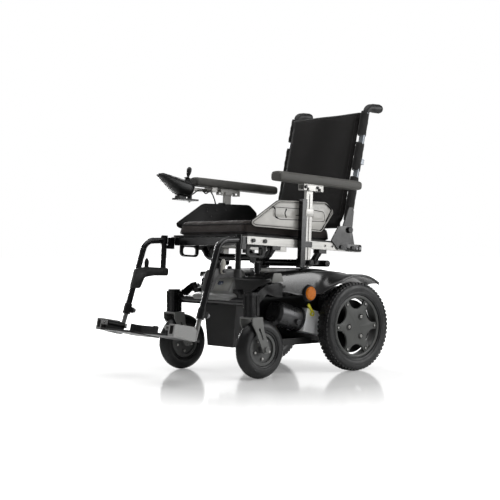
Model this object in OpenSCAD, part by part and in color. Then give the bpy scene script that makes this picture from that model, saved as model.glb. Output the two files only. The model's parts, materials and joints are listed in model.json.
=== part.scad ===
// Compact rear-wheel-drive power wheelchair with a manual fold-down back,
// swing-away legrests, height-adjustable armrests and a swing-away joystick.
// Millimetres, +Z up, the chair faces -Y and its left side is +X.
// Lengths along Y are written from the drive axle; origin_y moves the whole
// chair so that the origin lies on the floor under the middle of its length.

/* [Wheels] */
// Radius of a drive wheel over its tyre
wheel_r = 159; // [155:1:160]
// Width of a drive tyre
tyre_w = 57; // [50:1:58]
// Distance from the middle plane to the middle of a drive tyre
wheel_x = 231; // [231:1:240]
// Radius of a caster wheel over its tyre
caster_r = 100; // [95:1:100]
// Width of a caster tyre
caster_w = 50; // [44:1:50]
// Sideways distance of a caster's swivel axis
caster_x = 215; // [210:1:220]
// Caster swivel axis in front of the drive axle
caster_base = 469; // [465:1:475]
// Caster trail: swivel axis to wheel axle
trail = 37; // [34:1:40]

/* [Seat] */
// Height of the seat rails' top face above the drive axle line
seat_z = 454.8; // [450:1:470]
// Backward tilt of the whole seat
seat_tilt = 3; // [3:1:4]
// Depth of the seat cushion
cushion_d = 425; // [400:5:425]
// Thickness of the seat cushion
cushion_t = 50; // [40:5:50]
// Angle of the back to the seat's normal
back_lean = 10; // [9:0.5:11]
// Height of the back upholstery along the canes
back_h = 446; // [400:2:446]

/* [Legrests] */
// Angle of a hanger tube to the seat's normal
hanger_lean = 15; // [14:1:16]
// Distance of a hanger's swing post in front of the axle line
post_v = 518; // [516:1:522]
// Upward pitch of a footplate, measured from the seat plane
foot_pitch = 9; // [8:1:11]

/* [Hidden] */
$fn = 64;
front_reach = 801.91;
rear_reach = 191.39;
origin_y = (front_reach - rear_reach) / 2;
run = 0.05;          // radial running clearance of a bearing journal
hair = 0.2;          // gap between parts that only sit side by side
LEFT = 1;
RIGHT = -1;

rail_x = 200;        // middle of a seat rail
rail_w = 24;
rail_h = 27;
rail_wall = 3;
rail_front = -484;
rail_rear = 57;
rail_out = rail_x + rail_w / 2;
bolt_w = -rail_h / 2;
loop_x = rail_x - rail_w / 2 - 8;
loop_bolts = [-458, -406];
free_holes = [-122, -86];
accessory_r = 4.25;

motor_x = 138;
motor_z = 141;
motor_tilt = 13.7;
motor_r = 42;
brake_r = 45;
axle_z = wheel_r;
shaft_r = 12.5;
gear_in = 100;
gear_out = 198;

box_front = -430;
box_rear = 70;
box_low = 95;
box_high = 262;
lever_at = [-160, 208];

frame_low = 268;
frame_high = 298;
beam_x = 108.5;
beam_w = 25;

cradle_v = [-350, -130];
cradle_w = [-66, -74];
low_of_cradle = -70;
mount_post_r = 12;
cover_hole_r = 16;

stem_r = 8;
housing_low = 210;
housing_high = 291;
caster_axle_r = 6;

post_r = 10;
pivot_pin_r = 6;
hanger_x = 209;
hanger_r = 10.5;
leg_r = 8;
hanger_top = [-post_v, -15];
hanger_bend = [-600, -21];
hanger_len = 266;
foot_s = 318;        // along the hanger tube, from its bend to the foot block
foot_axis_x = 180;
foot_axis_up = 4;
plate_top = -15;
plate_t = 7;

arm_x = 224;
arm_bar = [12, 30];
arm_v = -223;
pad_low = 195;
pad_t = 33;
pad_w = 54;
pad_front = -386;
pad_rear = 19;
pad_x = 227;

back_pivot = [-8, 50];
cane_x = 188;
cane_r = 11;
cane_base = [10, 62];
cane_len = 454;

pod_x = -215;
pod_origin = [-423, 203];
pod_tilt = 10.6;
pod_pivot = [-246, -384];

// ---------------------------------------------------------------- helpers

module on_side(side) {
    if (side == LEFT) children();
    else mirror([1, 0, 0]) children();
}

module both_sides() {
    children();
    mirror([1, 0, 0]) children();
}

// The seat's own frame: v runs back along the rails, w is square to them.
module seat_space() {
    translate([0, 0, seat_z]) rotate([-seat_tilt, 0, 0]) children();
}

// Turns a drawing in x, y into the side plane: drawing x becomes Y, y becomes Z.
module side_plane(x = 0) {
    translate([x, 0, 0]) rotate([90, 0, 90]) children();
}

module block(low, high) {
    translate(low) cube(high - low);
}

// A cylinder along X from x1 to x2 at height z and place y.
module axle(x1, x2, y, z, r) {
    translate([x1, y, z]) rotate([0, 90, 0]) cylinder(r = r, h = x2 - x1);
}

module rounded_rect(w, h, r) {
    square([w - 2 * r, h], center = true);
    square([w, h - 2 * r], center = true);
    for (sx = [-1, 1], sy = [-1, 1])
        translate([sx * (w / 2 - r), sy * (h / 2 - r)]) circle(r = r);
}

// A box with rounded upright edges, centred in x and y.
module rounded_block(w, h, r, z1, z2) {
    translate([0, 0, z1]) linear_extrude(z2 - z1) rounded_rect(w, h, r);
}

function unit2(v) = v / norm(v);
function turn_at(p, i) = let (u = unit2(p[i] - p[i - 1]), w = unit2(p[i + 1] - p[i]))
    atan2(u[0] * w[1] - u[1] * w[0], u[0] * w[0] + u[1] * w[1]);
function setback(p, i, bend) =
    i == 0 || i == len(p) - 1 ? 0 : bend * tan(abs(turn_at(p, i)) / 2);

// A low ring round a bar of radius r at a point of a flat path.
module weld_band(at, u, r) {
    translate([at[0], at[1], 0]) rotate([0, 0, atan2(u[1], u[0])])
        translate([-2.5, 0, 0]) rotate([0, 90, 0]) cylinder(r = r + 0.5, h = 5);
}

// A round bar along a flat polyline p, with bends of radius bend and a low
// weld band where each straight meets a bend.
module bent_bar(p, bend, r) {
    for (i = [0 : len(p) - 2]) {
        u = unit2(p[i + 1] - p[i]);
        a = p[i] + u * setback(p, i, bend);
        length = norm(p[i + 1] - p[i]) - setback(p, i, bend) - setback(p, i + 1, bend);
        translate([a[0], a[1], 0]) rotate([0, 0, atan2(u[1], u[0])])
            rotate([0, 90, 0]) cylinder(r = r, h = length);
        if (i > 0) weld_band(a, u, r);
        if (i < len(p) - 2) weld_band(a + u * length, u, r);
    }
    if (len(p) > 2) for (i = [1 : len(p) - 2]) {
        u = unit2(p[i] - p[i - 1]);
        angle = turn_at(p, i);
        a = p[i] - u * setback(p, i, bend);
        c = a + sign(angle) * bend * [-u[1], u[0]];
        start = atan2(a[1] - c[1], a[0] - c[0]) - (angle < 0 ? -angle : 0);
        translate([c[0], c[1], 0]) rotate([0, 0, start])
            rotate_extrude(angle = abs(angle)) translate([bend, 0]) circle(r = r);
    }
}

// ---------------------------------------------------------------- chassis

module caster_housing() {
    translate([caster_x, -caster_base, 0]) difference() {
        union() {
            rounded_block(44, 44, 8, housing_low, housing_high - 6);
            rounded_block(36, 36, 8, housing_high - 6, housing_high);
        }
        translate([0, 0, housing_low - 1]) cylinder(r = stem_r + run, h = 70);
        for (turn = [0 : 90 : 270]) rotate([0, 0, turn])
            block([20, -5, housing_low + 4], [24, 5, housing_high - 12]);
    }
}

module caster_arm() {
    side_plane(201) linear_extrude(12) polygon([
        [-450, 256], [-450, 284], [-402, 312], [-340, 322], [-326, 316],
        [-326, 272], [-352, 272], [-396, 284], [-430, 256]]);
    block([96, -352, frame_low + 4], [213, -328, frame_high]);
}

module chassis_frame() color([0.06, 0.06, 0.065]) {
    both_sides() {
        block([beam_x - beam_w / 2, -450, frame_low], [beam_x + beam_w / 2, 90, frame_high]);
        block([94, -48, 150], [gear_in, 48, frame_low + 2]);
        caster_housing();
        caster_arm();
    }
    axle(-194, 194, -455, 257, 14);
    block([-110, 74, frame_low], [110, 90, frame_high]);
}

module tub_section() {
    polygon([[-70, box_low], [70, box_low], [92, box_high], [-92, box_high]]);
}

module battery_box() color([0.09, 0.1, 0.1]) {
    difference() {
        rotate([90, 0, 0]) translate([0, 0, -box_rear])
            linear_extrude(box_rear - box_front) tub_section();
        rotate([90, 0, 0]) translate([0, 0, -box_rear + 3])
            linear_extrude(box_rear - box_front - 6) polygon([[-67, box_low + 3],
                [67, box_low + 3], [90, box_high + 5], [-90, box_high + 5]]);
    }
    both_sides() {
        block([88, -436, box_high - 2], [119, -50, frame_low]);
        block([88, 50, box_high - 2], [119, 72, frame_low]);
        block([69, -294, 101], [172, -66, 104]);
        block([169, -294, 101], [172, -150, 124]);
    }
}

module batteries() color([0.25, 0.26, 0.28])
    for (start = [-420, -240]) {
        block([-62.5, start, 98.2], [62.5, start + 166, 240]);
        for (x = [-40, 40]) translate([x, start + 24, 240]) cylinder(r = 7, h = 10);
    }

module shroud_blank(grow) {
    hull() {
        translate([0, -396, 256]) rounded_block(244 - 2 * grow, 96 - 2 * grow, 22, 0, 14);
        translate([0, -388, 350]) rounded_block(156 - 2 * grow, 64 - 2 * grow, 20, 0, 18 - grow);
    }
}

// A flank that runs out and back from the hood to the side of the body cover.
module shroud_wing() hull() {
    translate([0, 0, 282]) linear_extrude(1)
        polygon([[96, -438], [104, -438], [197, -387], [197, -380]]);
    translate([0, 0, 340]) linear_extrude(1)
        polygon([[72, -421], [80, -421], [197, -387], [197, -380]]);
}

module front_shroud() color([0.3, 0.3, 0.3]) difference() {
    union() {
        shroud_blank(0);
        both_sides() shroud_wing();
    }
    translate([0, 0, -1]) shroud_blank(3);
    block([-130, -374, 250], [130, -300, 372]);
    block([-130, -450, 250], [130, -300, 272.2]);
    both_sides() block([beam_x - 14, -460, 250], [beam_x + 14, -300, frame_high + 1]);
    both_sides() block([88, -395, 260], [210, -300, 331]);
}

function fender_point(r, a) = [r * cos(a), axle_z + r * sin(a)];
cover_top = [[-372, 341], [-350, 352], [-300, 361], [-220, 366], [-110, 366],
    [-40, 357], [20, 346], [62, 333]];

module cover_skin(low) {
    polygon(concat(cover_top, [for (i = [len(cover_top) - 1 : -1 : 0])
        cover_top[i] - [0, low]]));
}

module body_cover() color([0.1, 0.1, 0.1]) {
    difference() {
        side_plane(-200) linear_extrude(400) cover_skin(4);
        both_sides() for (i = [0, 1]) let (v = cradle_v[i])
            translate([beam_x, v, 300]) cylinder(r = cover_hole_r, h = 90);
    }
    both_sides() {
        side_plane(196.5) linear_extrude(3.5) polygon(concat(
            [for (p = cover_top) p - [0, 1]],
            [for (a = [64 : 12 : 136]) fender_point(183.6, a)],
            [[-150, 279], [-233, 277], [-303, 289], [-372, 325]]));
        translate([199.9, 0, axle_z]) rotate([90, 0, 90]) rotate([0, 0, 54])
            rotate_extrude(angle = 86) translate([183, 0]) square([4, 60]);
        translate([255, 0, axle_z]) rotate([90, 0, 90]) rotate([0, 0, 54])
            rotate_extrude(angle = 86) translate([176, 0]) square([8, 4]);
    }
}

reflector_at = [-190, 281];

module reflector_cups() color([0.05, 0.05, 0.05]) both_sides()
    translate([200, reflector_at[0], reflector_at[1]]) rotate([0, 90, 0]) difference() {
        cylinder(r1 = 31, r2 = 27, h = 10);
        translate([0, 0, 5]) cylinder(r = 24.2, h = 10);
    }

module reflector_lenses() color([0.9, 0.45, 0.02]) both_sides()
    translate([205, reflector_at[0], reflector_at[1]]) rotate([0, 90, 0]) {
        cylinder(r = 24, h = 6);
        translate([0, 0, 6]) cylinder(r1 = 24, r2 = 20, h = 3);
    }

// The motor's own frame: Z runs forward along the armature.
module motor_space() {
    translate([motor_x, 0, motor_z]) rotate([90 - motor_tilt, 0, 0]) children();
}

module motors() color([0.16, 0.16, 0.16]) both_sides() motor_space() {
    translate([0, 0, 196]) cylinder(r = motor_r, h = 57);
    translate([0, 0, 196]) cylinder(r = brake_r, h = 8);
    translate([0, 0, 252]) cylinder(r = brake_r, h = 52);
    translate([0, 0, 304]) cylinder(r1 = brake_r, r2 = 36, h = 9);
    translate([motor_r - 6, -14, 228]) rotate([0, 90, 0]) cylinder(r = 11, h = 14);
}

module gearboxes() color([0.72, 0.73, 0.74]) both_sides() {
    difference() {
        union() {
            axle(gear_in, gear_out, 0, axle_z, 50);
            axle(gear_out - 1, gear_out + 3, 0, axle_z, 30);
            motor_space() block([-36, -34, 20], [40, 36, 150]);
            motor_space() block([-42, -40, 140], [44, 42, 195.8]);
        }
        axle(gear_in - 1, gear_out + 4, 0, axle_z, shaft_r + run);
    }
    axle(176, 187, lever_at[0], lever_at[1], 4);
}

module freewheel_lever(side) color([0.9, 0.82, 0.1]) on_side(side) difference() {
    union() {
        axle(182.3, 188.3, lever_at[0], lever_at[1], 9);
        side_plane(182.3) linear_extrude(6) polygon([
            lever_at + [-4, 8], lever_at + [-24, 30], lever_at + [-18, 37], lever_at + [5, 8]]);
    }
    axle(181, 189, lever_at[0], lever_at[1], 4 + run);
}

// ------------------------------------------------------------ drive wheels

module wheel_space(side) {
    on_side(side) translate([wheel_x, 0, axle_z]) rotate([0, 90, 0]) children();
}

module drive_tyre(side) color([0.07, 0.07, 0.07]) wheel_space(side)
    rotate_extrude($fn = 96) difference() {
        union() {
            translate([113, -22]) square([wheel_r - 125, 44]);
            translate([wheel_r - 28.5, 0]) circle(r = tyre_w / 2);
            translate([wheel_r - 12.5, -20]) square([12.5, 40]);
        }
        translate([0, -60]) square([113, 120]);
        for (z = [-10, 10]) translate([wheel_r - 3, z - 1.5]) square([6, 3]);
    }

module star_face() {
    difference() {
        circle(r = 103);
        for (a = [0 : 60 : 300]) rotate([0, 0, a]) translate([104, 0]) circle(r = 41);
    }
}

lug_turns = [30, 150, 270];

module drive_rim(side) color([0.2, 0.2, 0.2]) wheel_space(side) difference() {
    union() {
        rotate_extrude($fn = 96) translate([101, -20]) square([11.9, 40]);
        translate([0, 0, 11]) linear_extrude(8) star_face();
        cylinder(r1 = 46, r2 = 40, h = 12);
        translate([0, 0, 202.5 - wheel_x]) cylinder(r = 28, h = 30);
        translate([0, 0, 110 - wheel_x]) cylinder(r = shaft_r, h = 100);
    }
    rotate_extrude($fn = 96) translate([106, -14]) square([4, 28]);
    for (a = lug_turns) rotate([0, 0, a]) translate([40, 0, 0]) {
        translate([0, 0, 13]) cylinder(r = 9, h = 10);
        translate([0, 0, -12]) cylinder(r = 4.2, h = 30);
    }
}

module wheel_bolts(side) color([0.55, 0.55, 0.56]) wheel_space(side) {
    for (a = lug_turns) rotate([0, 0, a]) translate([40, 0, 0]) {
        translate([0, 0, 13]) cylinder(r = 6.5, h = 6, $fn = 6);
        translate([0, 0, -10]) cylinder(r = 4, h = 23.5);
    }
    for (a = [30 : 60 : 330]) rotate([0, 0, a]) translate([92, 0, 19])
        cylinder(r = 3.5, h = 2.5);
}

// ----------------------------------------------------------------- casters

module fork_space(side) {
    on_side(side) translate([caster_x, -caster_base, 0]) children();
}

module fork_side() {
    difference() {
        hull() {
            translate([0, 198]) square([44, 22], center = true);
            translate([10, 165]) circle(r = 17, $fn = 32);
        }
        translate([-40, 209]) square([80, 12]);
    }
    hull() {
        translate([10, 165]) circle(r = 17, $fn = 32);
        translate([trail, caster_r]) circle(r = 15, $fn = 32);
    }
}

// The fork, and its axle bolt as a second solid.
module caster_fork(side) color([0.36, 0.36, 0.36]) fork_space(side) {
    axle(-38, 38, trail, caster_r, caster_axle_r);
    for (x = [-42, 34.2]) axle(x, x + 7.8, trail, caster_r, 9);
    difference() {
        union() {
            for (x = [-34, 29]) side_plane(x) linear_extrude(5) fork_side();
            block([-34, -22, 203], [34, 22, 209]);
            translate([0, 0, 208]) cylinder(r = stem_r, h = 68);
        }
        axle(-40, 40, trail, caster_r, caster_axle_r + run);
        for (x = [-36, 28]) side_plane(x) linear_extrude(9) hull() {
            translate([8, 170]) circle(r = 3.5, $fn = 24);
            translate([22, 136]) circle(r = 3.5, $fn = 24);
        }
    }
}

module caster_wheel_space(side) {
    fork_space(side) translate([0, trail, caster_r]) rotate([0, 90, 0]) children();
}

module caster_tyre(side) color([0.08, 0.08, 0.08]) caster_wheel_space(side)
    rotate_extrude($fn = 96) difference() {
        union() {
            translate([56, -18]) square([25, 36]);
            translate([caster_r - 25, 0]) circle(r = caster_w / 2);
        }
        translate([0, -60]) square([56, 120]);
    }

module caster_hub(side) color([0.32, 0.32, 0.32]) caster_wheel_space(side) {
    difference() {
        union() {
            rotate_extrude($fn = 96) translate([46, -17]) square([9.9, 34]);
            translate([0, 0, -10]) cylinder(r = 47, h = 20);
            translate([0, 0, -28.4]) cylinder(r = 14, h = 56.8);
        }
        translate([0, 0, -30]) cylinder(r = caster_axle_r + run, h = 60);
        for (a = [0 : 72 : 288]) rotate([0, 0, a]) translate([33, 0, -20])
            cylinder(r = 3.1, h = 40);
    }
    for (a = [0 : 72 : 288]) rotate([0, 0, a]) translate([33, 0, 0]) {
        translate([0, 0, -13]) cylinder(r = 3, h = 26);
        for (z = [-14.5, 10.2]) translate([0, 0, z]) cylinder(r = 5, h = 4.3);
    }
}

// -------------------------------------------------------------- seat frame

module seat_rails() color([0.78, 0.78, 0.78]) seat_space() both_sides() difference() {
    block([rail_x - rail_w / 2, rail_front, -rail_h], [rail_out, rail_rear, 0]);
    block([rail_x - rail_w / 2 + rail_wall, rail_front - 1, -rail_h + rail_wall],
        [rail_out - rail_wall, rail_rear + 1, -rail_wall]);
    for (v = concat(loop_bolts, free_holes))
        axle(rail_x - 20, rail_x + 20, v, bolt_w, accessory_r);
}

// A bent cross tube under the seat with a flange at each rail and a clamp
// block over each of the two posts it stands on.
module cradle(i) {
    top = -rail_h - 4;
    low = cradle_w[i];
    translate([0, cradle_v[i], 0]) rotate([90, 0, 0])
        bent_bar([[-192, top - 2], [-160, low], [160, low], [192, top - 2]], 30, 12);
    both_sides() {
        block([rail_x - 20, cradle_v[i] - 18, -rail_h - 14],
            [rail_x + 10, cradle_v[i] + 18, -rail_h]);
        block([beam_x - 17, cradle_v[i] - 17, low - 19],
            [beam_x + 17, cradle_v[i] + 17, low + 15]);
    }
}

module seat_mount_frame() color([0.05, 0.05, 0.055]) {
    seat_space() {
        cradle(0);
        cradle(1);
        axle(-170, 170, -64, cradle_w[1], 12);
        both_sides() block([138, -120, cradle_w[1] - 6], [152, -60, cradle_w[1] + 6]);
        block([-187, rail_front - 2, -rail_h - 4], [187, rail_front + 16, -rail_wall]);
        both_sides() block([126, rail_front + 10, -rail_h - 2], [150, cradle_v[0] - 5, -rail_h + 14]);
        both_sides() block([126, cradle_v[0] - 9, low_of_cradle], [150, cradle_v[0] + 8, -rail_h + 14]);
    }
    for (i = [0, 1]) both_sides() translate([beam_x, cradle_v[i], frame_high]) {
        cylinder(r = mount_post_r, h = seat_z + cradle_w[i] - 14 - frame_high
            - cradle_v[i] * sin(seat_tilt));
        cylinder(r = 15, h = 6);
    }
}

module seat_pan() color([0.12, 0.12, 0.12]) seat_space()
    block([-206, rail_front + 6, 0], [206, -62, 6]);

module seat_cushion() color([0.1, 0.1, 0.1]) seat_space() {
    rear = rail_front - 2 + cushion_d;
    translate([0, (rail_front - 2 + rear) / 2, 0])
        rounded_block(392, cushion_d, 18, 6 + hair, 6 + cushion_t);
}

module tie_down_loops() color([0.1, 0.1, 0.1]) seat_space() both_sides() {
    v = (loop_bolts[0] + loop_bolts[1]) / 2 + 10;
    side_plane(loop_x) linear_extrude(7.8) difference() {
        union() {
            translate([v, -rail_h - 17]) rounded_rect(82, 50, 17);
            translate([v - 6, -rail_h / 2 - 3]) rounded_rect(76, 18, 6);
        }
        translate([v, -rail_h - 21]) rounded_rect(60, 28, 10);
        for (b = loop_bolts) translate([b, bolt_w]) circle(r = accessory_r);
    }
}

guard_outline = [[-455, 36], [-470, 48], [-466, 58], [-352, 128], [-338, 132],
    [-134, 142], [-122, 138], [-88, 112], [-92, 96], [-140, 38]];

module side_guards() color([0.55, 0.55, 0.54]) seat_space() both_sides() difference() {
    side_plane(205) linear_extrude(7) polygon(guard_outline);
    side_plane(208) linear_extrude(5) polygon([
        [-448, 44], [-458, 52], [-348, 120], [-290, 123], [-290, 44]]);
}

module arm_receivers() color([0.06, 0.06, 0.06]) seat_space() both_sides() {
    difference() {
        union() {
            block([215, -257, -95], [233, -236, 142]);
            for (w = [-78, -14, 96]) block([215, -241, w - 10], [233, -205, w + 10]);
            axle(232, 243, -214, -78, 11);
            block([212, -256, -25], [216, -206, -3]);
            block([212, -254, 60], [216, -240, 120]);
        }
        block([arm_x - arm_bar[0] / 2 - 0.1, arm_v - arm_bar[1] / 2 - 0.1, -100],
            [arm_x + arm_bar[0] / 2 + 0.1, arm_v + arm_bar[1] / 2 + 0.1, 150]);
    }
}

module hanger_receivers() color([0.07, 0.07, 0.07]) seat_space() both_sides() difference() {
    union() {
        translate([hanger_x, -post_v, -139]) cylinder(r = post_r, h = 110);
        block([192, -503, -44], [208, rail_front, -4]);
        block([199, -514, -44], [209, -500, -31]);
        block([191.2, rail_front - 1, -23.8], [208.8, rail_front + 20, -3.2]);
    }
    translate([hanger_x, -post_v, -70]) cylinder(r = pivot_pin_r + run, h = 60);
}

module back_brackets() color([0.12, 0.12, 0.12]) seat_space() both_sides() {
    side_plane(rail_out) linear_extrude(5) polygon([
        [-62, 60], [-95, 8], [-62, -23], [16, -24], [24, -14], [4, 58], [-8, 66]]);
    axle(rail_out - 19, rail_out + 1, back_pivot[0], back_pivot[1], 6);
}

module frame_bolts() color([0.15, 0.15, 0.16]) seat_space() both_sides() {
    for (v = loop_bolts) {
        axle(rail_out + hair, rail_out + 5, v, bolt_w, 7);
        axle(loop_x - 5, rail_out + 1, v, bolt_w, 4);
        axle(loop_x - 7, loop_x - hair, v, bolt_w, 6.5);
    }
    for (p = [[-46, -13], [10, -13]])
        axle(rail_out + 5, rail_out + 10, p[0], p[1], 7);
    axle(rail_out + 5, rail_out + 13, back_pivot[0], back_pivot[1], 11);
}

// ----------------------------------------------------------------- legrests

// Z runs down the hanger tube from its bend.
module hanger_space(side) {
    seat_space() on_side(side) translate([hanger_x, hanger_bend[0], hanger_bend[1]])
        rotate([180 - hanger_lean, 0, 0]) children();
}

module hanger_tube(side) color([0.08, 0.08, 0.085]) {
    difference() {
        seat_space() on_side(side) {
            side_plane(hanger_x) bent_bar([hanger_top, hanger_bend,
                hanger_bend + hanger_len * [-sin(hanger_lean), -cos(hanger_lean)]],
                46, hanger_r);
            translate([hanger_x, -post_v, -28.8]) cylinder(r = 12.5, h = 31.8);
        }
        hanger_space(side) translate([0, 0, 120]) cylinder(r = leg_r + run, h = 200);
    }
    seat_space() on_side(side) translate([hanger_x, -post_v, -66])
        cylinder(r = pivot_pin_r, h = 40);
    hanger_space(side) difference() {
        union() {
            translate([0, 0, hanger_len - 34]) cylinder(r = 13.5, h = 36);
            translate([-6, -24, hanger_len - 26]) cube([12, 16, 20]);
        }
        translate([0, 0, 120]) cylinder(r = leg_r + run, h = 200);
        translate([0, 0, hanger_len - 60]) cylinder(r = hanger_r - 0.4, h = 59.5);
    }
}

latch_at = [-586, -122];

module hanger_bracket(side) color([0.12, 0.12, 0.12]) difference() {
    seat_space() on_side(side) {
        side_plane(hanger_x - 13) linear_extrude(15) polygon([
            [-504, -114], [-504, -140], [-570, -146], [-621, -188], [-662, -188],
            [-645, -121], [-600, -114]]);
        translate([hanger_x, -post_v, -140]) cylinder(r = 14, h = 26);
        axle(hanger_x + 1, hanger_x + 8, latch_at[0], latch_at[1], 4);
    }
    seat_space() on_side(side) translate([hanger_x, -post_v, -200])
        cylinder(r = post_r + run, h = 200);
    hanger_space(side) cylinder(r = hanger_r + run, h = 320);
}

module hanger_latch(side) color([0.5, 0.5, 0.48]) seat_space() on_side(side) difference() {
    side_plane(hanger_x + 2.3) linear_extrude(7) {
        hull() {
            translate(latch_at) circle(r = 11, $fn = 32);
            translate(latch_at + [0, 20]) circle(r = 10, $fn = 32);
            translate(latch_at + [2, 34]) circle(r = 4, $fn = 32);
        }
    }
    axle(hanger_x + 2, hanger_x + 10, latch_at[0], latch_at[1], 4 + run);
}

// The foot block's own frame: x sideways, y back, z up from the plate, with
// its origin on the extension tube's axis.
module foot_space(side) {
    seat_space() on_side(side) translate([0,
        hanger_bend[0] - foot_s * sin(hanger_lean),
        hanger_bend[1] - foot_s * cos(hanger_lean)])
        rotate([-foot_pitch, 0, 0]) children();
}

module leg_extension(side) color([0.76, 0.76, 0.77]) {
    hanger_space(side) translate([0, 0, 150]) cylinder(r = leg_r, h = foot_s - 150 + 22);
    foot_space(side) {
        difference() {
            side_plane(hanger_x - 16) linear_extrude(30) polygon([
                [-99, -23], [-99, 17], [-27, 20], [-9, 12], [-9, -26], [-88, -23]]);
            block([hanger_x - 10, -99.5, -15], [hanger_x + 8, -30, 12]);
        }
        for (y = [-97, -16]) block([foot_axis_x - 8, y, foot_axis_up - 8],
            [hanger_x - 15, y + 9, foot_axis_up + 8]);
        translate([foot_axis_x, -104, foot_axis_up]) rotate([-90, 0, 0]) cylinder(r = 5.5, h = 98);
    }
}

module footplate(side) color([0.1, 0.1, 0.1]) foot_space(side) difference() {
    union() {
        translate([0, 0, plate_top - plate_t]) linear_extrude(plate_t) polygon([
            [foot_axis_x + 9, -101], [foot_axis_x + 9, 36], [172, 44], [44, 44], [26, 30],
            [26, -74], [36, -84]]);
        translate([foot_axis_x, -87, foot_axis_up]) rotate([-90, 0, 0]) cylinder(r = 10.5, h = 70);
        block([foot_axis_x - 8, -87, plate_top - 1], [foot_axis_x + 8, -17, foot_axis_up]);
        for (x = [40 : 22 : 150]) block([x, -78, plate_top - 0.5], [x + 5, 34, plate_top + 1.2]);
    }
    translate([foot_axis_x, -120, foot_axis_up]) rotate([-90, 0, 0]) cylinder(r = 5.5 + run, h = 120);
}

module heel_loop(side) color([0.13, 0.13, 0.13]) foot_space(side) translate([0, 0, plate_top + 1.3])
    linear_extrude(31) {
        polygon([[166, 2], [164, 26], [150, 40], [52, 40], [36, 28], [34, 6], [37, 6],
            [39, 27], [53, 37], [149, 37], [161, 25], [163, 2]]);
    }

// ----------------------------------------------------------------- armrests

module arm_post(side) color([0.8, 0.8, 0.8]) seat_space() on_side(side) {
    difference() {
        block([arm_x - arm_bar[0] / 2, arm_v - arm_bar[1] / 2, -92],
            [arm_x + arm_bar[0] / 2, arm_v + arm_bar[1] / 2, 180]);
        block([arm_x + arm_bar[0] / 2 - 2, arm_v - 2, -93],
            [arm_x + arm_bar[0] / 2 + 1, arm_v + 2, 160]);
    }
    difference() {
        block([212, -262, 172], [242, -170, pad_low]);
        block([211, -250, 160], [243, -238.2, 182]);
        block([211, -207.8, 160], [243, -182, 182]);
        block([215, -270, 176], [239, -239, 191]);
        block([215, -207, 176], [239, -160, 191]);
    }
}

module arm_pad(side) color([0.32, 0.32, 0.31]) seat_space() on_side(side) {
    translate([pad_x, (pad_front + pad_rear) / 2, 0])
        rounded_block(pad_w, pad_rear - pad_front, 14, pad_low, pad_low + pad_t);
}

// --------------------------------------------------------------------- back

// The back's own frame: z runs up the canes from the hinge line.
module back_space() {
    seat_space() translate([0, cane_base[0], cane_base[1]])
        rotate([-back_lean, 0, 0]) children();
}

module back_frame() color([0.6, 0.6, 0.61]) difference() {
    union() {
        back_space() {
            both_sides() side_plane(cane_x) bent_bar([[0, -34], [0, cane_len], [70, cane_len + 16]],
                26, cane_r);
            axle(-cane_x + 6, cane_x - 6, 14, 250, 7);
            both_sides() block([cane_x - 9, -6, 240], [cane_x + 9, 22, 260]);
            both_sides() block([cane_x - 2, -8, -30], [cane_x + 9.5, 8, 60]);
        }
        seat_space() both_sides() side_plane(cane_x + 6) linear_extrude(5.5) polygon([
            [-24, 40], [-12, 32], [22, 26], [30, 120], [24, 134], [6, 134], [0, 122], [-22, 62]]);
    }
    seat_space() both_sides() axle(cane_x + 3, rail_out + 12, back_pivot[0], back_pivot[1], 6 + run);
}

module back_upholstery() color([0.06, 0.06, 0.06]) back_space() {
    side_plane(-193) linear_extrude(386) polygon([
        [-12, 20], [-12, back_h], [-30, back_h], [-34, back_h * 0.4], [-34, 20]]);
    block([-182, -34, -22], [182, -14, 24]);
}

module push_grips() color([0.07, 0.07, 0.07]) back_space() both_sides()
    translate([cane_x, 0, cane_len]) rotate([-90 + atan2(16, 70), 0, 0]) difference() {
        translate([0, 0, 32]) cylinder(r = 15.5, h = 44);
        translate([0, 0, 30]) cylinder(r = cane_r + run, h = norm([70, 16]) - 29.8);
    }

// ----------------------------------------------------------------- joystick

// The pod's own frame: origin at the stick's foot on the top face, y back.
module pod_space() {
    seat_space() translate([pod_x, pod_origin[0], pod_origin[1]])
        rotate([-pod_tilt, 0, 0]) children();
}

module pod_case() color([0.12, 0.12, 0.125]) pod_space() difference() {
    intersection() {
        side_plane(-40) linear_extrude(80) polygon([
            [23, -4], [23, -38], [8, -55], [-38, -57], [-60, -46], [-122, -16],
            [-131, -6], [-125, 0], [10, 2]]);
        translate([0, 0, -60]) linear_extrude(80) hull() {
            translate([0, -5]) circle(r = 36);
            translate([0, 3]) rounded_rect(66, 40, 12);
            translate([0, -110]) circle(r = 23);
        }
    }
    translate([0, 0, -34]) cylinder(r = 24, h = 30);
    translate([0, 0, -10]) cylinder(r = 19.5, h = 20);
    for (x = [-14, 14]) translate([x, -52, -6]) cylinder(r = 7.2, h = 12);
    block([-16.4, -96, -7], [16.4, -80, 8]);
}

module joystick_gimbal() color([0.5, 0.5, 0.5]) pod_space() difference() {
    union() {
        translate([0, 0, -22]) cylinder(r = 15, h = 8);
        translate([-22, 0, -18]) rotate([0, 90, 0]) cylinder(r = 3, h = 44);
    }
    translate([0, 0, -30]) cylinder(r = 9, h = 20);
}

module joystick_stick() color([0.08, 0.08, 0.08]) pod_space() {
    translate([0, 0, -18]) rotate([90, 0, 0]) translate([0, 0, -8]) cylinder(r = 3.2, h = 16);
    translate([0, 0, -22]) cylinder(r = 4, h = 60);
    translate([0, 0, 6]) cylinder(r1 = 11, r2 = 8, h = 9);
    translate([0, 0, 14]) cylinder(r = 12, h = 3);
    rotate_extrude() polygon([[0, 24], [5, 24], [8.5, 34], [9, 46], [7, 54], [3, 58], [0, 58.5]]);
}

button_y = -52;

module pod_button(x) pod_space() translate([x, button_y, -4]) cylinder(r = 7, h = 6.5);

module power_button() color([0.1, 0.45, 0.2]) pod_button(-14);

module horn_button() color([0.3, 0.3, 0.32]) pod_button(14);

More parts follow.
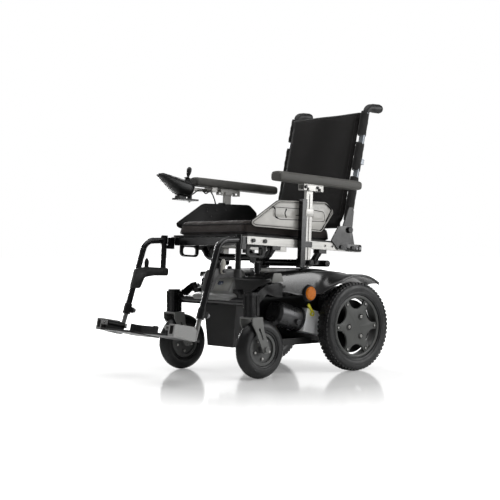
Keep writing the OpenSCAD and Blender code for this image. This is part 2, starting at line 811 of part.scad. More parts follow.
module speed_rocker() color([0.25, 0.25, 0.27]) pod_space() translate([0, -88, -1]) {
    rotate([90, 0, 0]) translate([0, 0, -7.6]) linear_extrude(15.2) polygon([
        [-15.5, 1], [-15, 3.5], [0, 2.5], [15, 3.5], [15.5, 1], [0, -2.5]]);
}

module pod_bracket() color([0.7, 0.7, 0.7]) {
    seat_space() difference() {
        translate([pod_pivot[0], pod_pivot[1], 138]) cylinder(r = 9, h = 38);
        translate([pod_pivot[0], pod_pivot[1], 130]) cylinder(r = 4 + run, h = 60);
    }
    seat_space() difference() {
        block([-248, -462, 138], [-200, -376, 144]);
        translate([pod_pivot[0], pod_pivot[1], 130]) cylinder(r = 4 + run, h = 60);
    }
    pod_space() side_plane(-14) linear_extrude(28) polygon([
        [-30, -66], [-30, -56.8], [0, -55.5], [0, -66]]);
}

module joystick_rail() color([0.72, 0.72, 0.72]) seat_space() {
    block([-253, -394, 178], [-239, -286, 190]);
    block([-253, -310, 178], [-205, -286, pad_low]);
    translate([pod_pivot[0], pod_pivot[1], 134]) cylinder(r = 4, h = 46);
}

// ---------------------------------------------------------------- assembly

// Moves a piece from the drive axle to the chair's own origin.
module placed() {
    translate([0, origin_y, 0]) children();
}

placed() chassis_frame();
placed() battery_box();
placed() batteries();
placed() front_shroud();
placed() body_cover();
placed() reflector_lenses();
placed() reflector_cups();
placed() motors();
placed() gearboxes();
placed() seat_mount_frame();
placed() seat_rails();
placed() seat_pan();
placed() seat_cushion();
placed() tie_down_loops();
placed() side_guards();
placed() arm_receivers();
placed() hanger_receivers();
placed() back_brackets();
placed() frame_bolts();
placed() drive_tyre(LEFT);  // drive_tyre_left
placed() drive_tyre(RIGHT);  // drive_tyre_right
placed() drive_rim(LEFT);  // drive_rim_left
placed() drive_rim(RIGHT);  // drive_rim_right
placed() wheel_bolts(LEFT);  // wheel_bolts_left
placed() wheel_bolts(RIGHT);  // wheel_bolts_right
placed() freewheel_lever(LEFT);  // freewheel_lever_left
placed() freewheel_lever(RIGHT);  // freewheel_lever_right
placed() caster_fork(LEFT);  // caster_fork_left
placed() caster_fork(RIGHT);  // caster_fork_right
placed() caster_tyre(LEFT);  // caster_tyre_left
placed() caster_tyre(RIGHT);  // caster_tyre_right
placed() caster_hub(LEFT);  // caster_hub_left
placed() caster_hub(RIGHT);  // caster_hub_right
placed() hanger_tube(LEFT);  // hanger_tube_left
placed() hanger_tube(RIGHT);  // hanger_tube_right
placed() hanger_bracket(LEFT);  // hanger_bracket_left
placed() hanger_bracket(RIGHT);  // hanger_bracket_right
placed() hanger_latch(LEFT);  // hanger_latch_left
placed() hanger_latch(RIGHT);  // hanger_latch_right
placed() leg_extension(LEFT);  // leg_extension_left
placed() leg_extension(RIGHT);  // leg_extension_right
placed() footplate(LEFT);  // footplate_left
placed() footplate(RIGHT);  // footplate_right
placed() heel_loop(LEFT);  // heel_loop_left
placed() heel_loop(RIGHT);  // heel_loop_right
placed() arm_post(LEFT);  // arm_post_left
placed() arm_post(RIGHT);  // arm_post_right
placed() arm_pad(LEFT);  // arm_pad_left
placed() arm_pad(RIGHT);  // arm_pad_right
placed() back_frame();
placed() back_upholstery();
placed() push_grips();
placed() pod_case();
placed() joystick_rail();
placed() pod_bracket();
placed() joystick_gimbal();
placed() joystick_stick();
placed() power_button();
placed() horn_button();
placed() speed_rocker();
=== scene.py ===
"""Looks of a compact power wheelchair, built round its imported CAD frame.

Pieces are modelled in millimetres in a few local spaces, each placed from the
frame's joints, and then brought into the row frame in metres.
"""

import json
import math

import bmesh
import bpy
from mathutils import Matrix, Vector
from mathutils.bvhtree import BVHTree


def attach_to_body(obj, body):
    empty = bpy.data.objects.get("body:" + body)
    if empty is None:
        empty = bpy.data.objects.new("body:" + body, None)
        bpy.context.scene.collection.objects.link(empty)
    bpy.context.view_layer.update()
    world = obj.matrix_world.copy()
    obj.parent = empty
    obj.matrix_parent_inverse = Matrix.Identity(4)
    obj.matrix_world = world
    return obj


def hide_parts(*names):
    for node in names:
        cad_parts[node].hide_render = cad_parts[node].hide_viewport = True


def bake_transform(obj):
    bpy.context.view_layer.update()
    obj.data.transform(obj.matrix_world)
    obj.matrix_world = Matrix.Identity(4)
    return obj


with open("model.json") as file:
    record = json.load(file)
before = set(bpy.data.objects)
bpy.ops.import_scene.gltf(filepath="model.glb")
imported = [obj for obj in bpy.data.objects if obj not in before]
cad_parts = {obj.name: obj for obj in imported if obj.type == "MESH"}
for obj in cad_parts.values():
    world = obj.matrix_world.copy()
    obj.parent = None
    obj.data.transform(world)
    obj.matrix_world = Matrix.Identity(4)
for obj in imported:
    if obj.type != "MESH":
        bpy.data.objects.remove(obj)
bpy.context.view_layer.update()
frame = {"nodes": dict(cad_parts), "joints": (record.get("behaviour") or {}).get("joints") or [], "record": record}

MM = 0.001
X = Vector((1, 0, 0))
UP = Vector((0, 0, 1))
Z_TO_X = Matrix.Rotation(math.radians(90), 4, "Y")
Z_TO_Y = Matrix.Rotation(math.radians(-90), 4, "X")
SIDES = {"left": 1, "right": -1}
JOINTS = {j["name"]: j for j in frame["joints"]}


# ------------------------------------------------------------------- spaces

def pivot(joint):
    return Vector(JOINTS[joint]["pos_m"])


def axis(joint):
    return Vector(JOINTS[joint]["axis"]).normalized()


def space(origin, up):
    """Millimetres to the row frame: X sideways, Z along up, Y square to both."""
    turn = Matrix((X, up.cross(X).normalized(), up)).transposed().to_4x4()
    return Matrix.Translation(origin) @ turn @ Matrix.Scale(MM, 4)


def shift(x, y, z):
    return Matrix.Translation((x, y, z))


drive_axle = (pivot("drive_wheel_left_spin") + pivot("drive_wheel_right_spin")) / 2
wheel_r = drive_axle.z / MM
CHAIR = space(Vector((0, drive_axle.y, 0)), UP)
SEAT = space(pivot("backrest_fold"), axis("armrest_left_height")) @ shift(0, 8, -50)
BACK_LEAN = math.radians(10)
BACK = SEAT @ shift(0, 10, 62) @ Matrix.Rotation(-BACK_LEAN, 4, "X")
POD = space(pivot("stick_fore_aft"), -axis("horn_button_press")) @ shift(0, 0, 18)
foot_hinge = pivot("footplate_left_flip")
foot_up = X.cross(axis("footplate_left_flip")).normalized()
FOOT = space(Vector((0, foot_hinge.y, foot_hinge.z)), foot_up) @ shift(0, 0, -4)
LEG = space(SEAT @ Vector((0, -600, -21)), -axis("leg_left_length"))


def spot(local, x, y, z):
    """A point of a local space, in the row frame."""
    return local @ Vector((x, y, z))


def wheel_space(side):
    """Z points outward along the axle."""
    hub = pivot(f"drive_wheel_{side}_spin")
    return Matrix.Translation(hub) @ Matrix.Rotation(
        math.radians(90 * SIDES[side]), 4, "Y") @ Matrix.Scale(MM, 4)


def mirrored(side):
    return Matrix.Diagonal((SIDES[side], 1, 1, 1))


# ---------------------------------------------------------------- materials

class Graph:
    """A node material that is built up from a few named moves."""

    def __init__(self, name):
        self.material = bpy.data.materials.new(name)
        self.material.use_nodes = True
        self.tree = self.material.node_tree
        self.surface = self.tree.nodes["Principled BSDF"]
        self.place = self.add("ShaderNodeTexCoord").outputs["Object"]

    def add(self, kind, **settings):
        node = self.tree.nodes.new(kind)
        for key, value in settings.items():
            setattr(node, key, value)
        return node

    def feed(self, socket, value):
        if isinstance(value, bpy.types.NodeSocket):
            self.tree.links.new(value, socket)
        elif isinstance(value, tuple) and len(value) == 3 and socket.type == "RGBA":
            socket.default_value = (*value, 1)
        else:
            socket.default_value = value

    def set(self, **values):
        for name, value in values.items():
            self.feed(self.surface.inputs[name.replace("_", " ")], value)

    def stretch(self, scale):
        node = self.add("ShaderNodeMapping")
        self.feed(node.inputs["Vector"], self.place)
        node.inputs["Scale"].default_value = scale
        return node.outputs["Vector"]

    def noise(self, scale, detail=3, vector=None):
        node = self.add("ShaderNodeTexNoise")
        self.feed(node.inputs["Vector"], vector or self.place)
        node.inputs["Scale"].default_value = scale
        node.inputs["Detail"].default_value = detail
        return node.outputs["Fac"]

    def cells(self, scale):
        node = self.add("ShaderNodeTexVoronoi")
        self.feed(node.inputs["Vector"], self.place)
        node.inputs["Scale"].default_value = scale
        return node.outputs["Distance"]

    def waves(self, scale, direction):
        node = self.add("ShaderNodeTexWave", wave_type="BANDS", bands_direction=direction)
        self.feed(node.inputs["Vector"], self.place)
        node.inputs["Scale"].default_value = scale
        return node.outputs["Fac"]

    def math(self, operation, a, b=0.0):
        node = self.add("ShaderNodeMath", operation=operation)
        self.feed(node.inputs[0], a)
        self.feed(node.inputs[1], b)
        return node.outputs[0]

    def span(self, value, low, high, new_low, new_high):
        node = self.add("ShaderNodeMapRange")
        for socket, item in zip(node.inputs, (value, low, high, new_low, new_high)):
            self.feed(socket, item)
        return node.outputs[0]

    def vary(self, source, low, high):
        """Spreads a noise over low..high, without its rare extremes."""
        return self.span(source, 0.3, 0.7, low, high)

    def mottle(self, scale, detail, dark, light):
        """Slow patches of two shades."""
        return self.mix(self.vary(self.noise(scale, detail), 0.0, 1.0), dark, light)

    def mix(self, amount, a, b):
        node = self.add("ShaderNodeMix", data_type="RGBA")
        self.feed(node.inputs[0], amount)
        self.feed(node.inputs[6], a)
        self.feed(node.inputs[7], b)
        return node.outputs[2]

    def soft_edges(self, radius):
        node = self.add("ShaderNodeBevel", samples=4)
        node.inputs["Radius"].default_value = radius
        return node.outputs["Normal"]

    def bump(self, height, strength, distance, normal=None):
        node = self.add("ShaderNodeBump")
        node.inputs["Strength"].default_value = strength
        node.inputs["Distance"].default_value = distance
        self.feed(node.inputs["Height"], height)
        if normal is not None:
            self.feed(node.inputs["Normal"], normal)
        return node.outputs["Normal"]

    def edge_mask(self, rounded):
        """1 where the rounded normal leaves the true one, which is at an edge."""
        true = self.add("ShaderNodeNewGeometry").outputs["Normal"]
        dot = self.add("ShaderNodeVectorMath", operation="DOT_PRODUCT")
        self.feed(dot.inputs[0], rounded)
        self.feed(dot.inputs[1], true)
        return self.span(dot.outputs["Value"], 0.995, 0.85, 0.0, 1.0)


def scaled(colour, factor):
    return tuple(min(1.0, c * factor) for c in colour)


def painted(name, colour, rough=0.38, edge_wear_and_highlight=0.5, radius=0.0014, peel=0.12, spec=0.3):
    """Powder coat: orange peel, faint mottling, and edges a little lighter, partly rubbed wear and partly a
    painted highlight.
    """
    g = Graph(name)
    rounded = g.soft_edges(radius)
    # Edges lightened: partly rubbed wear, partly a painted highlight.
    worn_and_lit_edge = g.math("MULTIPLY", g.edge_mask(rounded), g.span(g.noise(60), 0.35, 0.65, 0.2, edge_wear_and_highlight))
    base = g.mottle(9, 4, scaled(colour, 0.8), scaled(colour, 1.25))
    light = tuple(0.6 * c + 0.06 for c in colour)
    g.set(Base_Color=g.mix(worn_and_lit_edge, base, light),
          Roughness=g.vary(g.noise(35, 4), rough - 0.07, rough + 0.09),
          Specular_IOR_Level=spec, Normal=g.bump(g.noise(650, 2), peel, 0.0006, rounded))
    return g.material


def moulded(name, colour, rough=0.42, grain=0.18, edge_wear_and_highlight=0.35, radius=0.0016, coat=0.0, spec=0.3,
            coat_rough=0.12):
    """Moulded plastic: fine spark-eroded grain, handling marks and soft edges, a little lighter, partly rubbed
    wear and partly a painted highlight.
    """
    g = Graph(name)
    rounded = g.soft_edges(radius)
    smudge = g.span(g.noise(14, 5), 0.35, 0.68, 0.0, 1.0)
    # Edges lightened: partly rubbed wear, partly a painted highlight.
    worn_and_lit_edge = g.math("MULTIPLY", g.edge_mask(rounded), g.span(g.noise(80), 0.4, 0.6, 0.1, edge_wear_and_highlight))
    base = g.mix(smudge, scaled(colour, 0.86), scaled(colour, 1.16))
    g.set(Base_Color=g.mix(worn_and_lit_edge, base, tuple(0.7 * c + 0.05 for c in colour)),
          Roughness=g.span(smudge, 0.0, 1.0, rough - 0.05, rough + 0.1),
          Coat_Weight=coat, Coat_Roughness=coat_rough, Specular_IOR_Level=spec,
          Normal=g.bump(g.cells(1100), grain, 0.0004, rounded))
    return g.material


def brushed(name, colour, rough=0.32, grain=(9, 260, 260), metal=1.0):
    """Drawn or anodised metal: fine lines along one direction and a few scratches."""
    g = Graph(name)
    rounded = g.soft_edges(0.001)
    lines = g.noise(1.0, 6, g.stretch(grain))
    scratch = g.span(g.noise(3.0, 8, g.stretch(tuple(3 * s for s in grain))), 0.66, 0.72, 0, 1)
    base = g.mix(g.vary(lines, 0, 1), scaled(colour, 0.86), scaled(colour, 1.1))
    g.set(Base_Color=g.mix(g.math("MULTIPLY", scratch, 0.4), base, scaled(colour, 1.3)),
          Metallic=metal,
          Roughness=g.vary(g.noise(12, 4), rough - 0.06, rough + 0.1),
          Normal=g.bump(lines, 0.16, 0.0005, rounded))
    return g.material


def cast(name, colour, rough=0.5):
    """Sand-cast alloy with a pebbled skin."""
    g = Graph(name)
    rounded = g.soft_edges(0.0025)
    skin = g.noise(420, 5)
    g.set(Base_Color=g.mottle(30, 4, scaled(colour, 0.78), colour),
          Metallic=0.1, Specular_IOR_Level=0.8,
          Roughness=g.vary(skin, rough - 0.1, rough + 0.15),
          Normal=g.bump(skin, 0.35, 0.0008, rounded))
    return g.material


def woven(name, colour, pitch=0.0021, sheen=0.35):
    """Plain weave: crossed sets of threads pitch metres apart, fuzz and slow changes of shade."""
    g = Graph(name)
    bands_per_metre = 0.314
    count = bands_per_metre / pitch
    warp = g.waves(count, "X")
    weft = g.waves(count, "Z")
    depth = g.waves(count, "Y")
    threads = g.math("MAXIMUM", warp, g.math("MULTIPLY", g.math("ADD", weft, depth), 0.55))
    fuzz = g.noise(900, 2)
    base = g.mottle(7, 5, scaled(colour, 0.75), scaled(colour, 1.3))
    lit = g.mix(g.math("MULTIPLY", threads, 0.45), base, scaled(colour, 1.5))
    g.set(Base_Color=lit, Roughness=g.vary(fuzz, 0.78, 0.95),
          Sheen_Weight=sheen, Sheen_Roughness=0.45, Specular_IOR_Level=0.2,
          Normal=g.bump(g.math("ADD", threads, g.math("MULTIPLY", fuzz, 0.4)), 0.35, 0.0007))
    return g.material


def rubber(name, colour, rough=0.62, dust=0.35):
    """Tyre and grip rubber with a dusty bloom and a fine pebble."""
    g = Graph(name)
    bloom = g.math("MULTIPLY", g.span(g.noise(18, 6), 0.42, 0.72, 0.0, 1.0), dust)
    base = g.mix(bloom, colour, tuple(0.7 * c + 0.035 for c in colour))
    g.set(Base_Color=base,
          Roughness=g.vary(g.noise(45, 4), rough - 0.1, rough + 0.12),
          Specular_IOR_Level=0.32,
          Normal=g.bump(g.noise(800, 3), 0.22, 0.0006, g.soft_edges(0.0012)))
    return g.material


def lens(name, colour):
    """Clear amber plastic over a field of small prisms, with a faint painted glow."""
    g = Graph(name)
    prisms = g.cells(330)
    g.set(Base_Color=g.mix(g.span(prisms, 0.0, 0.6, 0, 1), colour, scaled(colour, 0.55)),
          Roughness=0.25, Specular_IOR_Level=0.2, Coat_Weight=0.1, Coat_Roughness=0.05,
          # The faint emission is a painted glow: the lens is no lamp.
          Emission_Color=colour, Emission_Strength=0.05,
          Normal=g.bump(prisms, 0.6, 0.0012))
    return g.material


def gloss(name, colour, rough=0.16):
    """Lacquered plastic with fine swirl marks."""
    g = Graph(name)
    swirl = g.noise(220, 6)
    g.set(Base_Color=g.mottle(16, 4, scaled(colour, 0.8), scaled(colour, 1.2)),
          Roughness=g.vary(swirl, rough - 0.04, rough + 0.08),
          Coat_Weight=0.5, Coat_Roughness=0.06,
          Normal=g.bump(swirl, 0.05, 0.0003, g.soft_edges(0.0012)))
    return g.material


def two_tone(name, low, high, at):
    """Paint that is dark below a height in metres and bare metal above it."""
    g = Graph(name)
    height = g.add("ShaderNodeSeparateXYZ")
    g.feed(height.inputs[0], g.place)
    edge = g.span(height.outputs["Z"], at - 0.001, at + 0.001, 0.0, 1.0)
    fine = g.noise(500, 4)
    shade = g.mottle(20, 4, low, scaled(low, 1.4))
    g.set(Base_Color=g.mix(edge, shade, high), Metallic=g.math("MULTIPLY", edge, 0.6),
          Roughness=g.vary(fine, 0.26, 0.42),
          Normal=g.bump(fine, 0.12, 0.0004, g.soft_edges(0.0012)))
    return g.material


RAIL = (9, 260, 260)
ALONG_Y = (260, 9, 260)

MATERIALS = {
    "frame_black": painted("frame_black", (0.0035, 0.0035, 0.004), 0.18, spec=0.45),
    "moulded_black": moulded("moulded_black", (0.007, 0.007, 0.0072), 0.36),
    "shroud_grey": moulded("shroud_grey", (0.19, 0.192, 0.188), 0.32, coat=0.4),
    "battery": moulded("battery", (0.06, 0.063, 0.07), 0.5),
    "amber_lens": lens("amber_lens", (0.72, 0.19, 0.003)),
    "motor_metal": brushed("motor_metal", (0.05, 0.05, 0.052), 0.24, RAIL, 0.6),
    # The near-white base is partly the alloy's pale tone and partly a painted highlight for the gearbox's bright
    # reflection.
    "cast_alloy": cast("cast_alloy", (0.95, 0.96, 0.97), 0.36),
    "rail_silver": brushed("rail_silver", (0.39, 0.385, 0.37), 0.38, ALONG_Y, 0.7),
    "pan_black": painted("pan_black", (0.014, 0.014, 0.014), 0.5),
    "cloth_black": woven("cloth_black", (0.024, 0.0185, 0.0165)),
    "strap_black": woven("strap_black", (0.016, 0.016, 0.017), pitch=0.0026),
    "guard_grey": moulded("guard_grey", (0.42, 0.41, 0.385), 0.3, coat=0.3),
    "bolt_black": painted("bolt_black", (0.014, 0.014, 0.015), 0.28),
    "bolt_steel": brushed("bolt_steel", (0.22, 0.22, 0.225), 0.32, (60, 60, 60)),
    "tyre_black": rubber("tyre_black", (0.0065, 0.0068, 0.0072), 0.36),
    "rim_graphite": painted("rim_graphite", (0.058, 0.06, 0.057), 0.4),
    "lever_yellow": gloss("lever_yellow", (0.72, 0.66, 0.05), 0.3),
    "fork_grey": painted("fork_grey", (0.15, 0.152, 0.146), 0.4),
    "latch_grey": moulded("latch_grey", (0.4, 0.39, 0.35), 0.4),
    "pad_grey": moulded("pad_grey", (0.082, 0.08, 0.074), 0.5, 0.4),
    "cane_metal": painted("cane_metal", (0.2, 0.215, 0.235), 0.34),
    "grip_rubber": rubber("grip_rubber", (0.011, 0.011, 0.0115), 0.42, 0.2),
    "gimbal_plastic": moulded("gimbal_plastic", (0.3, 0.3, 0.3), 0.5),
    "button_green": gloss("button_green", (0.03, 0.2, 0.06), 0.3),
    "button_grey": moulded("button_grey", (0.12, 0.12, 0.13), 0.45),
}
# The seat cloth made darker for the back panel: painted shade.
SHADED_BACK_CLOTH = woven("back_cloth_painted_shade", (0.0085, 0.0078, 0.0076), sheen=0.14)
COVER_BLACK = moulded("cover_black", (0.009, 0.009, 0.0092), 0.3, 0.04, coat=0.7, spec=0.5, coat_rough=0.24)
FOOT_ALLOY = brushed("foot_alloy", (0.24, 0.24, 0.236), 0.32, RAIL, 0.75)
# Near-black, barely reflecting: painted shade behind the wheel's openings.
SHADE_BLACK = painted("painted_shade_black", (0.003, 0.003, 0.003), 0.6, spec=0.1)
BLACK_GLOSS = gloss("black_gloss", (0.006, 0.006, 0.0065))
SLEEVE = woven("sleeve_cloth", (0.013, 0.0125, 0.0125), pitch=0.003, sheen=0.2)
SEAM = woven("seam_piping", (0.01, 0.0095, 0.0095), pitch=0.0016, sheen=0.15)
CABLE = moulded("cable_jacket", (0.01, 0.01, 0.0105), 0.4)
# Black of the guard's inner skin, also used as painted shade in the guard's slots.
GUARD_BLACK_AND_SLOT_SHADE = moulded("guard_inner", (0.004, 0.004, 0.004), 0.4, spec=0.15)
CAP_GREY = moulded("cap_grey", (0.16, 0.16, 0.165), 0.35)
CLIP_GREY = moulded("clip_grey", (0.2, 0.2, 0.19), 0.5)
PANEL_GREY = moulded("panel_grey", (0.24, 0.24, 0.225), 0.4, coat=0.2)
BADGE = gloss("badge_blue", (0.03, 0.045, 0.08), 0.2)
INDICATOR = gloss("indicator_green", (0.06, 0.35, 0.08), 0.25)

BRACKET_GREY = painted("bracket_grey", (0.03, 0.03, 0.03), 0.34)
HUB_GREY = painted("hub_grey", (0.085, 0.087, 0.085), 0.4)
OWN_LOOK = {"caster_hub_left": HUB_GREY, "caster_hub_right": HUB_GREY,
            "back_frame": two_tone("cane_two_tone", (0.008, 0.008, 0.0085), (0.2, 0.215, 0.235), 0.66),
            "leg_extension_left": FOOT_ALLOY, "leg_extension_right": FOOT_ALLOY,
            "pod_bracket": MATERIALS["bolt_black"]}
slot_of = {part["node"]: part["material_slot"] for part in frame["record"]["subparts"]}
for node_name, node in frame["nodes"].items():
    if not node.material_slots:
        node.data.materials.append(None)
    for material_slot in node.material_slots:
        material_slot.link = "OBJECT"
        material_slot.material = OWN_LOOK.get(node_name, MATERIALS[slot_of[node_name]])


# --------------------------------------------------------------- mesh tools

def smoothstep(t):
    t = max(0.0, min(1.0, t))
    return t * t * (3 - 2 * t)


def table(points, at):
    """Smooth reading of a short list of (place, value) pairs."""
    if at <= points[0][0]:
        return points[0][1]
    for (a, low), (b, high) in zip(points, points[1:]):
        if at <= b:
            return low + (high - low) * smoothstep((at - a) / (b - a))
    return points[-1][1]


def curve_through(points, steps=8):
    """A Catmull-Rom path through the points."""
    pts = [Vector(p) for p in points]
    ends = [2 * pts[0] - pts[1]] + pts + [2 * pts[-1] - pts[-2]]
    path = []
    for i in range(1, len(ends) - 2):
        p0, p1, p2, p3 = ends[i - 1:i + 3]
        for k in range(steps):
            t = k / steps
            path.append(0.5 * (2 * p1 + (p2 - p0) * t + (2 * p0 - 5 * p1 + 4 * p2 - p3) * t * t
                               + (3 * p1 - p0 - 3 * p2 + p3) * t ** 3))
    path.append(pts[-1])
    return path


def rounded_loop(half_w, half_h, r, steps=5):
    """A rounded rectangle as (x, y) points, anticlockwise."""
    r = min(r, half_w, half_h)
    points = []
    for k, (sx, sy) in enumerate(((1, 1), (-1, 1), (-1, -1), (1, -1))):
        for i in range(steps + 1):
            a = math.radians(90 * k + 90 * i / steps)
            points.append((sx * (half_w - r) + r * math.cos(a),
                           sy * (half_h - r) + r * math.sin(a)))
    return points


def outline_loop(points, r, steps=4):
    """A flat outline with each corner rounded by about r."""
    loop = []
    count = len(points)
    for i in range(count):
        p = Vector(points[i])
        before = Vector(points[i - 1]) - p
        after = Vector(points[(i + 1) % count]) - p
        cut = min(r, before.length * 0.45, after.length * 0.45)
        a = p + before.normalized() * cut
        b = p + after.normalized() * cut
        for k in range(steps + 1):
            t = k / steps
            loop.append((1 - t) ** 2 * a + 2 * t * (1 - t) * p + t * t * b)
    return [(q.x, q.y) for q in loop]


def inset(loop, d):
    """Moves each point of an anticlockwise loop inward by d."""
    moved = []
    for i, p in enumerate(loop):
        ahead = Vector(loop[(i + 1) % len(loop)]) - Vector(loop[i - 1])
        if ahead.length < 1e-9:
            moved.append(p)
            continue
        ahead.normalize()
        moved.append((p[0] - ahead.y * d, p[1] + ahead.x * d))
    return moved


def attach(piece, body, replaces=()):
    """Rides the piece on its body, and hides the CAD nodes it stands for."""
    if body:
        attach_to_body(piece, body)
    if replaces:
        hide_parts(*replaces)


def anticlockwise(loop):
    area = sum(a[0] * b[1] - b[0] * a[1] for a, b in zip(loop, loop[1:] + loop[:1]))
    return loop if area > 0 else list(reversed(loop))


def squared(value, power):
    """Bends a circle's cos or sin towards a box with rounded corners."""
    return math.copysign(abs(value) ** (2 / power), value)


def circle(count, start=0.0):
    """(cos, sin) of count even steps round a circle, the first at start steps."""
    turns = (2 * math.pi * (k + start) / count for k in range(count))
    return [(math.cos(a), math.sin(a)) for a in turns]


def sideways(v, w, x):
    """Lays a slab's outline in the side plane: v along the chair and w upward."""
    return (x, v, w)


class Shape:
    """Collects closed shells in one mesh."""

    def __init__(self):
        self.bm = bmesh.new()

    def loft(self, rings, closed=False):
        """Skins a row of rings, which is capped unless the last joins the first."""
        loops = [[self.bm.verts.new(p) for p in ring] for ring in rings]
        pairs = list(zip(loops, loops[1:]))
        if closed:
            pairs.append((loops[-1], loops[0]))
        for a, b in pairs:
            for i in range(len(a)):
                k = (i + 1) % len(a)
                self.bm.faces.new((a[i], a[k], b[k], b[i]))
        if not closed:
            self.bm.faces.new(list(reversed(loops[0])))
            self.bm.faces.new(loops[-1])
        return self

    def slab(self, loop, low, high, edge=1.0, place=lambda x, y, z: (x, y, z)):
        """An outline raised from low to high with softened rims."""
        edge = min(edge, (high - low) * 0.45)
        levels = ((edge, low), (edge * 0.3, low + edge * 0.3), (0, low + edge),
                  (0, high - edge), (edge * 0.3, high - edge * 0.3), (edge, high))
        self.loft([[place(x, y, z) for x, y in inset(loop, d)] for d, z in levels])
        return self

    def lathe(self, profile, count=48, centre=(0, 0, 0)):
        """Revolves an open (radius, z) profile about Z and closes both ends."""
        x, y, low = centre
        return self.loft([[(x + r * c, y + r * s, low + z) for c, s in circle(count)]
                          for r, z in profile])

    def ring_at(self, centre, profile, count):
        """A turned ring whose axis runs along Z through centre, an (x, y) pair."""
        x, y = centre
        return self.loft([[(x + r * c, y + r * s, z) for r, z in profile] for c, s in circle(count)],
                         closed=True)

    def tube(self, path, radius, count=12, closed=False):
        """A round bar along a path; radius is a number or a function of 0..1."""
        path = [Vector(p) for p in path]
        last = len(path) - 1
        side = None
        rings = []
        for i, p in enumerate(path):
            if closed:
                ahead = path[(i + 1) % len(path)] - path[i - 1]
            else:
                ahead = path[min(i + 1, last)] - path[max(i - 1, 0)]
            ahead.normalize()
            if side is None:
                side = ahead.orthogonal().normalized()
            side = (side - side.dot(ahead) * ahead).normalized()
            other = ahead.cross(side)
            r = radius(i / last) if callable(radius) else radius
            rings.append([p + r * (c * side + s * other) for c, s in circle(count)])
        return self.loft(rings, closed)

    def sheet(self, rows):
        """An open grid of points, thickened later by solid()."""
        grid = [[self.bm.verts.new(p) for p in row] for row in rows]
        for a, b in zip(grid, grid[1:]):
            for i in range(len(a) - 1):
                self.bm.faces.new((a[i], a[i + 1], b[i + 1], b[i]))
        return self

    def solid(self, name, matrix, material, body, replaces=(), slot=None,
              smooth=35, levels=0, thick=0.0):
        """Turns the shells into a piece that rides on a body; material may be a slot's name."""
        bmesh.ops.recalc_face_normals(self.bm, faces=self.bm.faces)
        mesh = bpy.data.meshes.new(name)
        self.bm.to_mesh(mesh)
        self.bm.free()
        mesh.transform(matrix)
        if matrix.determinant() < 0:
            mesh.flip_normals()
        piece = bpy.data.objects.new(name, mesh)
        bpy.context.scene.collection.objects.link(piece)
        mesh.materials.append(MATERIALS.get(material, material))
        if thick:
            wall = piece.modifiers.new("wall", "SOLIDIFY")
            wall.thickness = thick * MM
            wall.offset = -1
        if levels:
            add_subdivision(piece, levels)
        mesh.polygons.foreach_set("use_smooth", [True] * len(mesh.polygons))
        if smooth < 180:
            mesh.set_sharp_from_angle(angle=math.radians(smooth))
        attach(piece, body, replaces)
        return piece


def add_subdivision(piece, levels):
    finer = piece.modifiers.new("finer", "SUBSURF")
    finer.levels = levels
    finer.render_levels = levels


def apply_modifiers(piece):
    graph = bpy.context.evaluated_depsgraph_get()
    mesh = bpy.data.meshes.new_from_object(piece.evaluated_get(graph))
    piece.modifiers.clear()
    piece.data = mesh


def inflate(piece, voxel, pressure, cap, frames=20):
    """Remeshes a pad and lets cloth pressure fill it, within cap millimetres."""
    remesh = piece.modifiers.new("even", "REMESH")
    remesh.mode = "VOXEL"
    remesh.voxel_size = voxel * MM
    apply_modifiers(piece)
    start = [v.co.copy() for v in piece.data.vertices]
    cloth = piece.modifiers.new("cloth", "CLOTH")
    cloth.settings.use_pressure = True
    cloth.settings.uniform_pressure_force = pressure
    cloth.settings.effector_weights.gravity = 0
    cloth.settings.tension_stiffness = 18
    cloth.settings.bending_stiffness = 0.6
    cloth.collision_settings.use_collision = False
    scene = bpy.context.scene
    for step in range(1, frames + 1):
        scene.frame_set(step)
    graph = bpy.context.evaluated_depsgraph_get()
    moved = [v.co.copy() for v in piece.evaluated_get(graph).data.vertices]
    piece.modifiers.clear()
    limit = cap * MM
    for vertex, a, b in zip(piece.data.vertices, start, moved):
        d = b - a
        length = d.length
        vertex.co = a + d * (limit * math.tanh(length / limit) / length if length else 0)
    scene.frame_set(1)
    add_subdivision(piece, 1)
    apply_modifiers(piece)
    piece.data.polygons.foreach_set("use_smooth", [True] * len(piece.data.polygons))


def reshape(piece, matrix, move):
    """Moves each vertex by a function of its place in a local space."""
    back = matrix.inverted()
    for vertex in piece.data.vertices:
        vertex.co = matrix @ move(back @ vertex.co)
    piece.data.update()


def on_surface(piece, points, lift=0.0):
    """The nearest points of a piece's surface, lifted along its normal."""
    tree = BVHTree.FromPolygons([v.co for v in piece.data.vertices],
                                [list(p.vertices) for p in piece.data.polygons])
    hits = []
    for p in points:
        place, normal = tree.find_nearest(p)[:2]
        hits.append(place + normal * lift * MM)
    return hits


# ------------------------------------------------------------- drive wheels

TREAD_PITCHES = 60


def lug(shape, r1, r2, turn, turn_width, z1, z2, skew=0.0):
    """One raised block of tread, narrower at its top."""
    rings = []
    for r, shrink in ((r1, 0.0), (r2, 0.16)):
        ring = []
        for da, z in ((-1, z1), (1, z1), (1, z2), (-1, z2)):
            middle = (z1 + z2) / 2
            zz = middle + (z - middle) * (1 - shrink)
            a = turn + turn_width * 0.5 * da * (1 - shrink) + skew * (z - middle) / 20
            ring.append((r * math.cos(a), r * math.sin(a), zz))
        rings.append(ring)
    shape.loft(rings)


